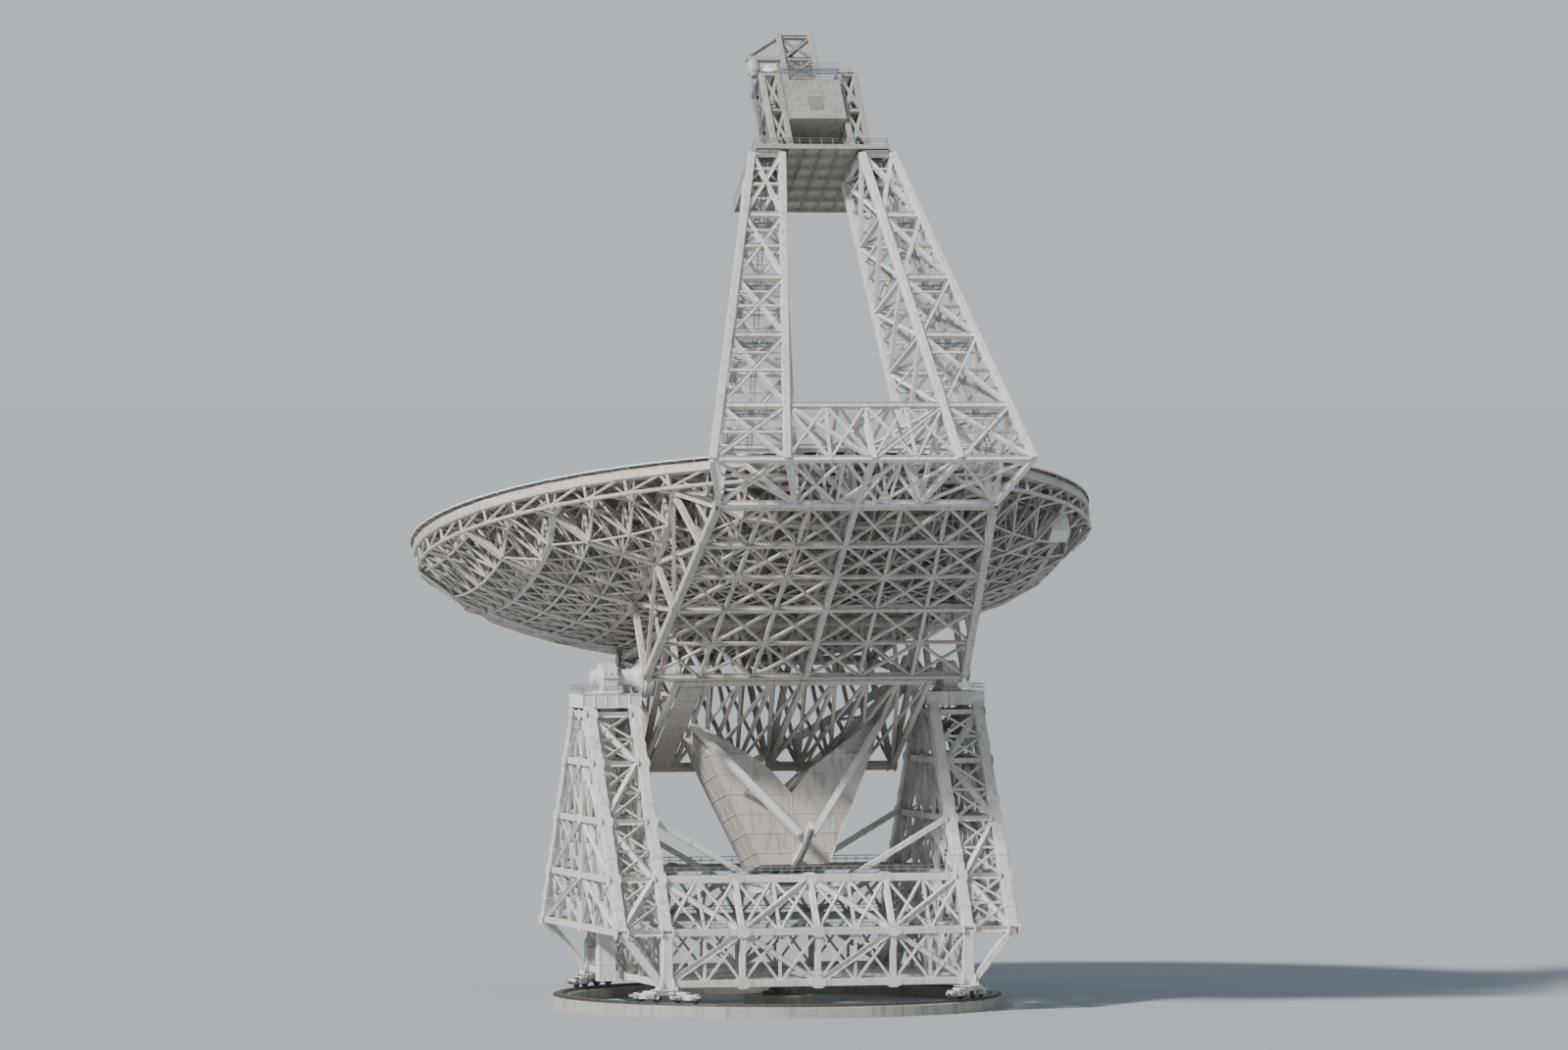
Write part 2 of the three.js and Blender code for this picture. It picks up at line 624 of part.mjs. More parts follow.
// Toothed rim of the elevation wheel as a plain arc
function rim(swell = 0) {
  const [start, end] = [RIM_START - 90 - swell, RIM_END - 90 + swell].map(THREE.MathUtils.degToRad);
  const corners = ringCorners(RIM_RADIUS - RIM_DEPTH - swell, RIM_RADIUS + swell, start, end, 22);
  return prism(corners, -RIM_WIDTH / 2 - swell, RIM_WIDTH / 2 + swell).rotate([90, 0, 90]);
}

function buildElevationWheel() {
  const boxCutter = lattice(axleBoxBars(), 2 * GAP);
  piece(tipping, 'elevation_wheel_rim', rim(), machinery);
  for (const [name, side] of [['left', -1], ['right', 1]]) {
    const fan = lattice(spokeBars(side)).subtract(rim(GAP)).subtract(boxCutter).subtract(hub(side, GAP));
    piece(tipping, `elevation_wheel_spokes_${name}`, main(fan), paint);
  }
}

// Ballast boxes round the middle spokes. They meet in the plane of the wheel, and narrow towards the axle.
function buildBallast() {
  const width = SPOKE_ROOT_X;
  const sides = [...BALLAST_SIDES, ...[...BALLAST_SIDES].reverse().map(([t, r]) => [-t, r])];
  const taper = prism(sides.map(([t, r]) => [t, -r]), -width, width).rotate([90, 0, 90]);
  for (const [name, side] of [['left', -1], ['right', 1]]) {
    const corners = BALLAST_OUTLINE.map(([x, r]) => [side * x, -r]);
    const outline = side > 0 ? corners.reverse() : corners;
    const slab = prism(outline, -width, width).rotate([90, 0, 0]);
    const box = slab.intersect(taper).rotate([BALLAST_ANGLE, 0, 0]);
    const body = box.subtract(lattice(spokeBars(side), 2 * GAP)).subtract(rim(GAP));
    piece(tipping, `ballast_box_${name}`, main(body), paint);
  }
}

// A point on the floor edge of the horizontal arm
function armEdge(h) {
  const part = (h - ARM_ROOT[1]) / (ARM_TIP[1] - ARM_ROOT[1]);
  const between = (axis) => ARM_ROOT[axis] + (ARM_TIP[axis] - ARM_ROOT[axis]) * part;
  return [between(0), h, between(2)];
}

const ARM_STATIONS = [ARM_ROOT[1], GRID_H[1], GRID_H[0], ARM_TIP[1]];

// Bars of one side of the horizontal arm: its lower edge, and posts and diagonals up to the ribs
function armSideBars(side) {
  const mirrored = ([x, h, v]) => at(side * x, h, v);
  const bars = [[mirrored(ARM_ROOT), mirrored(ARM_TIP), CHORD]];
  const x = GRID_X[3];
  const rimH = -Math.sqrt(RIM_GIRDER_RADIUS ** 2 - x ** 2);
  const part = (GRID_H[0] - GRID_H[1]) / (rimH - GRID_H[1]);
  const lastBay = underside(x, GRID_H[1]) * (1 - part) + (chordTop(x, rimH) - RIM_DROP) * part;
  const seat = BRACE / 2 - 0.1;
  const undersides = [underside(x, GRID_H[2]), underside(x, GRID_H[1]), lastBay];
  const heads = undersides.map((v, i) => at(side * x, GRID_H[2 - i], v - seat));
  ARM_STATIONS.forEach((h, i) => {
    const foot = mirrored(armEdge(h));
    if (i < heads.length) {
      bars.push([foot, heads[i], BRACE]);
    }
    if (i > 0) {
      bars.push([foot, heads[i - 1], BRACE * 0.8]);
    }
  });
  return bars;
}

// The backup structure in four parts, with splices between them
function buildBackup() {
  const neighbours = [...axleBoxBars(), ...armSideBars(-1), ...armSideBars(1)];
  const clear = wasm.Manifold.union([reflectorCutter(), lattice(neighbours, 2 * GAP)]);
  const whole = backupBody().subtract(clear);
  const far = 200;
  const zones = {
    left_wing: block(at(-far, -far, -far), at(-WING_SPLIT - GAP, far, far)),
    right_wing: block(at(WING_SPLIT + GAP, -far, -far), at(far, far, far)),
    front: block(at(-WING_SPLIT, CENTRE_SPLIT + GAP, -far), at(WING_SPLIT, far, far)),
    rear: block(at(-WING_SPLIT, -far, -far), at(WING_SPLIT, CENTRE_SPLIT, far)),
  };
  for (const [name, zone] of Object.entries(zones)) {
    piece(tipping, `backup_structure_${name}`, main(whole.intersect(zone)), paint);
  }
}

// Corner of a feed leg at a level: the corners run round the leg from the rear outer one
function legCorner(side, index, level) {
  const part = (level - LEG_LOW) / (LEG_HIGH - LEG_LOW);
  const [footX, footH] = FOOT_CORNERS[index];
  const [headX, headH] = HEAD_CORNERS[index];
  return at(side * (footX + (headX - footX) * part), footH + (headH - footH) * part, level);
}

function feedLegBars(side) {
  const bars = [];
  for (let i = 0; i < 4; i += 1) {
    const next = (i + 1) % 4;
    bars.push([legCorner(side, i, LEG_LOW), legCorner(side, i, LEG_HIGH), CHORD]);
    ARM_LEVELS.forEach((level, j) => {
      bars.push([legCorner(side, i, level), legCorner(side, next, level), BRACE]);
      if (j > 0) {
        const [a, b] = j % 2 === 0 ? [i, next] : [next, i];
        bars.push([legCorner(side, a, ARM_LEVELS[j - 1]), legCorner(side, b, level), BRACE * 0.8]);
      }
    });
  }
  return bars;
}

// Bars between the feet of the two feed legs
function endFrameBars() {
  const bars = [];
  const [low, high] = ARM_LEVELS;
  for (const index of [1, 2]) {
    const corner = (side, level) => legCorner(side, index, level);
    const middle = (level) => at(0, FOOT_CORNERS[index][1], level);
    bars.push([corner(-1, low), corner(1, low), BRACE]);
    bars.push([corner(-1, high), corner(1, high), BRACE]);
    bars.push([middle(low), middle(high), BRACE]);
    bars.push([corner(-1, high), middle(low), BRACE * 0.8]);
    bars.push([corner(1, high), middle(low), BRACE * 0.8]);
  }
  for (const level of [low, high]) {
    bars.push([at(0, FOOT_CORNERS[1][1], level), at(0, FOOT_CORNERS[2][1], level), BRACE]);
  }
  return bars;
}

// Floor truss of the horizontal arm, flat between its two edges
function armFloor() {
  const slope = Math.atan2(ARM_TIP[2] - ARM_ROOT[2], ARM_ROOT[1] - ARM_TIP[1]);
  const run = (h) => (ARM_ROOT[1] - h) / Math.cos(slope);
  const rows = ARM_STATIONS.map((h) => ({ x: armEdge(h)[0] - CHORD / 2, y: -run(h) }));
  const first = rows[0];
  const last = rows[rows.length - 1];
  const outline = [[-first.x, first.y + BRACE / 2], [-last.x, last.y - BRACE / 2],
    [last.x, last.y - BRACE / 2], [first.x, first.y + BRACE / 2]];
  const cells = [];
  rows.slice(1).forEach((row, i) => {
    const above = rows[i];
    for (const side of [-1, 1]) {
      const corners = [[0, above.y], [side * above.x, above.y], [side * row.x, row.y], [0, row.y]];
      const [a, b, c, d] = corners;
      cells.push(...(i % 2 === 0 ? [[a, b, d], [b, c, d]] : [[a, b, c], [a, c, d]]));
    }
  });
  const plate = flatTruss(outline, cells, BRACE, BRACE);
  return plate.rotate([-THREE.MathUtils.radToDeg(slope), 0, 0]).translate([0, ARM_ROOT[1], ARM_ROOT[2]]);
}

// Horizontal arm under the near half of the dish, and the two trussed legs that stand on its end
function buildFeedArm() {
  const legCutter = lattice([...feedLegBars(-1), ...feedLegBars(1)], 2 * GAP);
  const boxCutter = lattice(axleBoxBars(), 2 * GAP);

  const sideCutter = lattice([...armSideBars(-1), ...armSideBars(1)], 2 * GAP);
  const endCutter = lattice(endFrameBars(), 2 * GAP);
  const neighbours = wasm.Manifold.union([sideCutter, legCutter, boxCutter, endCutter]);
  const floor = armFloor().subtract(neighbours);
  piece(tipping, 'feed_arm_floor', main(floor), paint);
  for (const [name, side] of [['left', -1], ['right', 1]]) {
    const body = lattice(armSideBars(side)).subtract(legCutter).subtract(boxCutter);
    piece(tipping, `feed_arm_side_${name}`, main(body), paint);
  }

  const under = block(at(-100, -100, -20), at(100, 0, DECK_LOW - GAP));
  for (const [name, side] of [['left', -1], ['right', 1]]) {
    piece(tipping, `feed_leg_${name}`, lattice(feedLegBars(side)).intersect(under), paint);
  }
  piece(tipping, 'feed_arm_end_frame', main(lattice(endFrameBars()).subtract(legCutter)), paint);
}

// Deck on the legs with the upper columns, the receiver room, the rear cabin and the mast
function buildFeedHead() {
  const deck = block(at(-10, -66, DECK_LOW), at(10, -50.5, DECK_HIGH));
  const bars = [];
  for (const side of [-1, 1]) {
    COLUMN_CORNERS.forEach(([x, h], i) => {
      const [nx, nh] = COLUMN_CORNERS[(i + 1) % 4];
      bars.push([at(side * x, h, DECK_HIGH - 0.3), at(side * x, h, COLUMN_TOP), BRACE]);
      for (const level of [54.5, COLUMN_TOP]) {
        bars.push([at(side * x, h, level), at(side * nx, nh, level), BRACE * 0.8]);
      }
    });
  }
  piece(tipping, 'feed_head_deck', deck.add(lattice(bars)), paint);
  const inner = ROOM_HALF_WIDTH - GAP;
  const room = block(at(-inner, -60.2, DECK_HIGH + GAP), at(inner, -51, 54));
  piece(tipping, 'receiver_room', room, paint);
  const cabin = block(at(-inner, -66.5, 52.3), at(inner, -60.2 - GAP, 59.3));
  piece(tipping, 'rear_cabin', cabin, paint);

  const [centreH, centreV] = SUBREFLECTOR_CENTRE;
  const lean = THREE.MathUtils.degToRad(SUBREFLECTOR_TILT);
  const behind = (d) => [centreH - d * Math.sin(lean), centreV + d * Math.cos(lean)];
  const profile = SUBREFLECTOR_PROFILE.map((corner) => new THREE.Vector2(...corner));
  const shell = new THREE.LatheGeometry(profile, 24);
  const place = (body) => body.rotate([SUBREFLECTOR_TILT, 0, 0]).translate([0, centreH, centreV]);
  shell.rotateX(Math.PI / 2);
  const backing = drum(SUBREFLECTOR_BACKING, -0.2, 1.2, 12);
  const dish = place(solid(shell).add(backing));
  piece(tipping, 'subreflector', dish, panelPaint);

  const mastBars = [];
  for (const side of [-1, 1]) {
    mastBars.push([at(side * MAST_X, MAST_H, MAST_LOW), at(side * MAST_X, MAST_H, MAST_HIGH), BRACE]);
    for (const level of [64, 70]) {
      const end = at(0, ...behind(SUBREFLECTOR_BACKING));
      mastBars.push([at(side * MAST_X, MAST_H, level), end, BRACE * 0.7]);
    }
  }
  for (const level of [66, 70]) {
    mastBars.push([at(-MAST_X, MAST_H, level), at(MAST_X, MAST_H, level), BRACE * 0.7]);
  }
  mastBars.push([at(-MAST_X, MAST_H, 66), at(-8, MAST_H, 66), BRACE]);
  const above = block(at(-20, -90, MAST_LOW + GAP), at(20, -20, 90));
  const backingCutter = place(drum(SUBREFLECTOR_BACKING + 0.01, -0.2, 1.2 + GAP, 12));
  const mast = lattice(mastBars).intersect(above).subtract(backingCutter);
  piece(tipping, 'subreflector_mast', main(mast), paint);
}

buildFoundation();
buildTrucks();
buildBaseTrusses();
buildTowers();
buildBearings();
buildPintle();
buildDrivePlatform();
buildLift();
buildJournals();
buildAxleBox();
buildElevationWheel();
buildBallast();
buildBackup();
buildReflector();
buildFeedArm();
buildFeedHead();

export default telescope;
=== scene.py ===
import math
import random

import bmesh
import bpy
import numpy as np
from mathutils import Matrix, Vector


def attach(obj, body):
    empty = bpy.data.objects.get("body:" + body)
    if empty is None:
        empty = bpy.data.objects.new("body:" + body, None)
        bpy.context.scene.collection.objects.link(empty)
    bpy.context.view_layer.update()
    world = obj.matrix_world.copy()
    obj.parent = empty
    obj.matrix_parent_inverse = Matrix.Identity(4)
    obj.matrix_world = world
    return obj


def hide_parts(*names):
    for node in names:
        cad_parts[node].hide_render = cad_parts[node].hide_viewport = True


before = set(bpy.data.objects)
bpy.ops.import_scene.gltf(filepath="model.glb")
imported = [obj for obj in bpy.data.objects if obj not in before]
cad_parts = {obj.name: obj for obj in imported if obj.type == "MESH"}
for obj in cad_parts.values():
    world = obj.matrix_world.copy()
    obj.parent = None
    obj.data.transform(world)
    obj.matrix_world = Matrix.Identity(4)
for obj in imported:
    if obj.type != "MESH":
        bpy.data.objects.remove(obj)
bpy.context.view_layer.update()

# Camera. It looks at the back of the dish from far off and almost level with it, a little towards the
# left tower, so the view has hardly any perspective. The telescope fills the height of the frame.
VIEW_AZIMUTH = math.radians(-15)
VIEW_ELEVATION = math.radians(0.9)
VIEW_DISTANCE = 170
VIEW_MIDDLE = Vector((0.1, 0, 7.05))
VIEW_HEIGHT = 15.4  # what the frame shows from its lower to its upper edge
SENSOR = 36
IMAGE_RATIO = 1600 / 1071


def new_object(name, data):
    thing = bpy.data.objects.new(name, data)
    bpy.context.scene.collection.objects.link(thing)
    return thing


camera_data = bpy.data.cameras.new("camera")
camera_data.sensor_width = SENSOR
camera_data.lens = SENSOR * VIEW_DISTANCE / (VIEW_HEIGHT * IMAGE_RATIO)
camera_data.clip_end = 3000
camera = new_object("camera", camera_data)
camera.rotation_euler = (math.radians(90) - VIEW_ELEVATION, 0, VIEW_AZIMUTH)
camera.location = VIEW_MIDDLE + camera.rotation_euler.to_matrix() @ Vector((0, 0, VIEW_DISTANCE))
bpy.context.scene.camera = camera


# Studio. A wide plain floor in pale matt grey, a pale surround that is a little darker overhead and fills
# the shadows, and one broad soft key light from high on the left.
def linear(colour):
    """An sRGB hex colour as the linear values that a shader takes."""
    parts = [int(colour[i:i + 2], 16) / 255 for i in (1, 3, 5)]
    return (*[c / 12.92 if c <= 0.04045 else ((c + 0.055) / 1.055) ** 2.4 for c in parts], 1)


def feed(fed, inputs):
    """Gives the inputs of a node a hex colour, another value, or the output that feeds them."""
    for name, value in inputs.items():
        if isinstance(value, bpy.types.NodeSocket):
            fed.id_data.links.new(value, fed.inputs[name])
        else:
            fed.inputs[name].default_value = linear(value) if isinstance(value, str) else value


def node(tree, kind, inputs, output=None, **settings):
    """Adds a node and returns its output, which is the first one in use if none is named."""
    made = tree.nodes.new("ShaderNode" + kind)
    for name, value in settings.items():
        setattr(made, name, value)
    feed(made, inputs)
    return made.outputs[output] if output else next(socket for socket in made.outputs if socket.enabled)


FLOOR_SIZE = 3000
bpy.ops.object.select_all(action="DESELECT")
bpy.ops.mesh.primitive_plane_add(size=FLOOR_SIZE)
floor = bpy.context.object
floor.name = "floor"
floor_paint = bpy.data.materials.new("matt_floor_paint")
floor_paint.use_nodes = True
feed(floor_paint.node_tree.nodes["Principled BSDF"], {"Base Color": "#A9AEB0", "Roughness": 0.9})
floor.data.materials.append(floor_paint)

studio = bpy.data.worlds.new("studio")
studio.use_nodes = True
sky = studio.node_tree
height = node(sky, "SeparateXYZ", {"Vector": node(sky, "TexCoord", {}, "Generated")}, "Z")
height = node(sky, "MapRange", {"Value": height, "From Min": 0.06, "From Max": 0.5})
glow = node(sky, "Mix", {"Factor": height, "A": "#C5CED3", "B": "#8F9DAB"}, data_type="RGBA")
feed(sky.nodes["Background"], {"Color": glow})
bpy.context.scene.world = studio
key_data = bpy.data.lights.new("key", "SUN")
key_data.energy = 5.2
key_data.angle = math.radians(6)
key = new_object("key", key_data)
key.rotation_euler = (math.radians(52), 0, math.radians(-62))

# Track. A ring of cast concrete, finished with a steel float on top and with board marks on its sides,
# that carries steel wear plates and a flat rail. The plates are bolted down, with a gap between their ends.
METRE = 0.1  # a metre of the real telescope in the model
AXLE_HEIGHT = 48.3
REST_TILT = 36
TRACK_RADIUS = 32
TRACK_HALF_WIDTH = 1.4
TRACK_TOP = 1.6
CHAMFER = 0.12
RAIL_HALF_WIDTH = 0.45
RAIL_TOP = 2
RAIL_CHAMFER = 0.05
WEAR_PLATES = 48
WEAR_PLATE_ANGLE = 360 / WEAR_PLATES
WEAR_PLATE_GAP_ANGLE = 0.25
WEAR_PLATE_HALF_WIDTH = 0.95
WEAR_PLATE_TOP = TRACK_TOP + 0.14
ALL_TRACKS = ["track_front_right", "track_front_left", "track_rear_left", "track_rear_right"]

tones = random.Random(7)


def at(x, y, z):
    return Matrix.Translation((x, y, z))


def about(axis, degrees):
    return Matrix.Rotation(math.radians(degrees), 4, axis)


def sized(x, y, z):
    return Matrix.Diagonal((x, y, z, 1))


def edit(thing):
    """Opens one object in edit mode with nothing else selected."""
    bpy.ops.object.select_all(action="DESELECT")
    bpy.context.view_layer.objects.active = thing
    thing.select_set(True)
    bpy.ops.object.mode_set(mode="EDIT")
    return thing


def cylinder(sides, radius, depth):
    """Starts a cylinder and leaves it in edit mode."""
    bpy.ops.object.select_all(action="DESELECT")
    bpy.ops.mesh.primitive_cylinder_add(vertices=sides, radius=radius, depth=depth)
    return edit(bpy.context.object)


def pick_all():
    bpy.ops.mesh.select_all(action="SELECT")


def pick(kind, test):
    """Selects those faces or edges of the object in edit mode for which a test holds."""
    bpy.ops.mesh.select_mode(type="FACE" if kind == "faces" else "EDGE")
    bpy.ops.mesh.select_all(action="DESELECT")
    mesh = bmesh.from_edit_mesh(bpy.context.object.data)
    for item in getattr(mesh, kind):
        item.select_set(bool(test(item)))
    bmesh.update_edit_mesh(bpy.context.object.data)


def on_top(face):
    return face.normal.z > 0.9


def done(thing):
    """Leaves edit mode, and keeps the corners and faces of the object as a shape to copy."""
    bpy.ops.object.mode_set(mode="OBJECT")
    corners = np.array([corner.co for corner in thing.data.vertices])
    faces = [tuple(face.vertices) for face in thing.data.polygons]
    bpy.data.objects.remove(thing)
    return corners, faces


def turned(outline, steps=32, angle=360):
    """An outline of (radius, height) corners spun round the upright axis. It may end on the axis."""
    count = len(outline)
    mesh = bpy.data.meshes.new("turned")
    closing = [] if outline[0][0] == 0 else [(count - 1, 0)]
    mesh.from_pydata([(r, 0, z) for r, z in outline], [(i, i + 1) for i in range(count - 1)] + closing, [])
    thing = edit(new_object("turned", mesh))
    pick_all()
    # The operator turns clockwise, so the angle is negative
    bpy.ops.mesh.spin(steps=steps, angle=-math.radians(angle), center=(0, 0, 0), axis=(0, 0, 1))
    pick_all()
    bpy.ops.mesh.remove_doubles(threshold=1e-4)
    if angle < 360:
        bpy.ops.mesh.select_mode(type="EDGE")
        bpy.ops.mesh.select_all(action="DESELECT")
        bpy.ops.mesh.select_non_manifold()
        bpy.ops.mesh.edge_face_add()
        pick_all()
    bpy.ops.mesh.normals_make_consistent(inside=False)
    return done(thing)


def add_shape(parts, shape, matrix=Matrix()):
    """Adds a copy of a shape at a place, with a tone of its own that its paint varies by."""
    corners, faces = shape
    placed = corners @ np.array(matrix.to_3x3()).T + np.array(matrix.translation)
    if matrix.determinant() < 0:
        faces = [face[::-1] for face in faces]
    parts.append((placed, faces, tones.random()))


def joined(parts):
    """Placed shapes as one shape, to copy or to finish together."""
    first, faces = 0, []
    for corners, shape_faces, _ in parts:
        faces.extend(tuple(first + i for i in face) for face in shape_faces)
        first += len(corners)
    return np.concatenate([corners for corners, _, _ in parts]), faces


def finish_piece(name, parts, material, body, replaced=(), smooth=30):
    """Joins placed shapes into one piece, with its finish, its body and the CAD nodes it stands for. Edges
    up to an angle are shaded smooth. The tipping structure is built level with the axle and tipped here."""
    corners, faces = joined(parts)
    mesh = bpy.data.meshes.new(name)
    mesh.from_pydata(corners.tolist(), [], faces)
    face_tones = [tone for _, shape_faces, tone in parts for _ in shape_faces]
    mesh.attributes.new("tone", "FLOAT", "FACE").data.foreach_set("value", face_tones)
    place = Matrix.Scale(METRE, 4)
    if body == "tipping_structure":
        place = place @ at(0, 0, AXLE_HEIGHT) @ about("X", -REST_TILT)
    mesh.transform(place)
    mesh.materials.append(material)
    thing = new_object(name, mesh)
    if smooth:
        bpy.ops.object.select_all(action="DESELECT")
        bpy.context.view_layer.objects.active = thing
        thing.select_set(True)
        bpy.ops.object.shade_smooth_by_angle(angle=math.radians(smooth))
    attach(thing, body)
    if replaced:
        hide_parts(*replaced)
    return thing


def coat(name, colours, cloud, rough=(), tone=0, stains=(), skin=(), metal=0, pattern="TexNoise"):
    """A finish in two colours that mix in a cloud pattern, and by a share in the tone of each member. Stains
    lie over them, each where a pattern of its own is high. The skin is a fine pattern that stands out."""
    material = bpy.data.materials.new(name)
    material.use_nodes = True
    tree = material.node_tree
    place = node(tree, "TexCoord", {}, "Object")
    cloud = mixed = node(tree, pattern, {"Vector": place, **cloud})
    if tone:
        own = node(tree, "Attribute", {}, "Fac", attribute_name="tone")
        mixed = node(tree, "Mix", {"Factor": tone, "A": own, "B": cloud})
    colour = node(tree, "Mix", {"Factor": mixed, "A": colours[0], "B": colours[1]}, data_type="RGBA")
    for stain, stretch, spots, low, high, most in stains:
        where = node(tree, "Mapping", {"Vector": place, "Scale": stretch}) if stretch else place
        spots = node(tree, "TexNoise", {"Vector": where, **spots})
        shows = node(tree, "MapRange", {"Value": spots, "From Min": low, "From Max": high, "To Max": most})
        colour = node(tree, "Mix", {"Factor": shows, "A": colour, "B": stain}, data_type="RGBA")
    shader = tree.nodes["Principled BSDF"]
    feed(shader, {"Base Color": colour, "Metallic": metal})
    if rough:
        sheen = node(tree, "MapRange", {"Value": cloud, "To Min": rough[0], "To Max": rough[1]})
        feed(shader, {"Roughness": sheen})
    if skin:
        height = node(tree, "TexNoise", {"Vector": place, **skin[0]})
        bump = node(tree, "Bump", {"Height": height, "Strength": skin[1], "Distance": skin[2]})
        feed(shader, {"Normal": bump})
    return material


# Cast concrete: grey, with paler lime bloom, damp stains low down, board marks and open pores
concrete = coat("cast_concrete_board_marked", ("#8E8A80", "#BDB9AE"),
                {"Scale": 2.2, "Detail": 8, "Roughness": 0.65},
                stains=[("#6B655A", (9, 9, 0.8), {"Scale": 1, "Detail": 4}, 0.52, 0.72, 0.55)])
tree = concrete.node_tree
place = node(tree, "TexCoord", {}, "Object")
# Boards 0.4 m high on the real wall, broader than they are there, so that they show
boards = node(tree, "TexWave", {"Vector": place, "Scale": 8, "Distortion": 0.6, "Detail": 2}, "Fac",
              bands_direction="Z")
pores = node(tree, "TexVoronoi", {"Vector": place, "Scale": 60})
depth = node(tree, "Mix", {"Factor": 0.5, "A": boards, "B": pores})
bump = node(tree, "Bump", {"Height": depth, "Strength": 0.35, "Distance": 0.004})
feed(tree.nodes["Principled BSDF"], {"Roughness": 0.88, "Normal": bump})
# Rolled rail steel: dark brown mill scale, rubbed bright in the band where the wheels run
rail_steel = coat("rolled_rail_steel_worn", ("#4A4039", "#8D8781"), {"Scale": 14, "Detail": 6}, (0.35, 0.65),
                  metal=0.8)


def add_track_ring(parts, half_width, low, high, chamfer):
    """Adds a ring along the track, with chamfered edges on top."""
    inner, outer = TRACK_RADIUS - half_width, TRACK_RADIUS + half_width
    add_shape(parts, turned([(inner, low), (outer, low), (outer, high - chamfer), (outer - chamfer, high),
                             (inner + chamfer, high), (inner, high - chamfer)], steps=144))


wall, rail = [], []
add_track_ring(wall, TRACK_HALF_WIDTH, 0, TRACK_TOP, CHAMFER)
finish_piece("track_wall", wall, concrete, "foundation", ALL_TRACKS)

head = cylinder(6, 0.5, 1)
pick("faces", on_top)
bpy.ops.mesh.inset(thickness=0.08)
bpy.ops.transform.translate(value=(0, 0, 0.08))
bolt_head = done(head)

add_track_ring(rail, RAIL_HALF_WIDTH, WEAR_PLATE_TOP, RAIL_TOP, RAIL_CHAMFER)
inner, outer = TRACK_RADIUS - WEAR_PLATE_HALF_WIDTH, TRACK_RADIUS + WEAR_PLATE_HALF_WIDTH
wear_plate = turned([(inner, TRACK_TOP), (outer, TRACK_TOP), (outer, WEAR_PLATE_TOP),
                     (inner, WEAR_PLATE_TOP)], steps=3, angle=WEAR_PLATE_ANGLE - WEAR_PLATE_GAP_ANGLE)
for plate in range(WEAR_PLATES):
    add_shape(rail, wear_plate, about("Z", plate * WEAR_PLATE_ANGLE))
    for part in (0.12, 0.38, 0.62, 0.88):
        for offset in (-0.75, 0.75):
            where = at(TRACK_RADIUS + offset, 0, WEAR_PLATE_TOP + 0.05) @ sized(0.2, 0.2, 0.12)
            add_shape(rail, bolt_head, about("Z", (plate + part) * WEAR_PLATE_ANGLE) @ where)
finish_piece("track_rail_and_wear_plates", rail, rail_steel, "foundation")

# Pintle foundation. A round cast footing in the middle of the track, with a forged steel pin held down by
# a ring of anchor bolts. The alidade turns round the pin.
PIN_RADIUS = 1.2
PIN_TOP = 5.7
FOOT_RADIUS = 5
FOOT_FLANGE_TOP = TRACK_TOP + 0.35


def add_bolt_ring(parts, bolts, radius, level, size, height, matrix=Matrix()):
    """Adds bolt heads in a ring about the upright axis."""
    for bolt in range(bolts):
        where = about("Z", bolt * 360 / bolts) @ at(radius, 0, level) @ sized(size, size, height)
        add_shape(parts, bolt_head, matrix @ where)


footing, pin = [], []
add_shape(footing, turned([(0, 0), (FOOT_RADIUS, 0), (FOOT_RADIUS, TRACK_TOP - CHAMFER),
                           (FOOT_RADIUS - CHAMFER, TRACK_TOP), (0, TRACK_TOP)], steps=48))
finish_piece("pintle_footing", footing, concrete, "foundation", ["pintle_foundation"])
add_shape(pin, turned([
    (0, PIN_TOP), (PIN_RADIUS - 0.15, PIN_TOP), (PIN_RADIUS, PIN_TOP - 0.15), (PIN_RADIUS, 2.6),
    (1.5, FOOT_FLANGE_TOP), (2.3, FOOT_FLANGE_TOP), (2.3, TRACK_TOP), (0, TRACK_TOP),
]))
add_bolt_ring(pin, 16, 1.95, FOOT_FLANGE_TOP + 0.08, 0.25, 0.18)
finish_piece("pintle_pin", pin, rail_steel, "foundation")

# Trucks. Each corner of the alidade stands on four forged steel wheels in two bogies of welded plate. An
# equaliser beam shares the load between the bogies, and each wheel has its own gearbox and motor.
WHEEL_RADIUS = 0.75
WHEEL_OFFSETS = (-4.6, -1.7, 1.7, 4.6)
WHEEL_CENTRE = RAIL_TOP + WHEEL_RADIUS
BOGIE_OFFSET = 3.15
BOGIE_LENGTH = 4.6
EQUALISER_TOP = 3.88
TRUCK_HEADINGS = {"front_right": -45, "front_left": -135, "rear_left": 135, "rear_right": 45}


def block(size, place=(0, 0, 0)):
    """Starts a block of a size at a place, and leaves it in edit mode."""
    bpy.ops.object.select_all(action="DESELECT")
    bpy.ops.mesh.primitive_cube_add(size=1)
    thing = bpy.context.object
    thing.data.transform(at(*place) @ sized(*size))
    return edit(thing)


def plate_work(size, place, chamfer, axis=None):
    """A block of welded plate with chamfered edges: all of them, or only those along one axis."""
    thing = block(size, place)
    if axis is None:
        pick_all()
    else:
        pick("edges", lambda edge: abs((edge.verts[0].co - edge.verts[1].co)[axis]) > 1e-4)
    bpy.ops.mesh.bevel(offset=chamfer, segments=1, affect="EDGES")
    return done(thing)


def add_group(parts, group, matrix):
    """Adds a copy of a group of placed shapes."""
    for corners, faces, _ in group:
        add_shape(parts, (corners, faces), matrix)


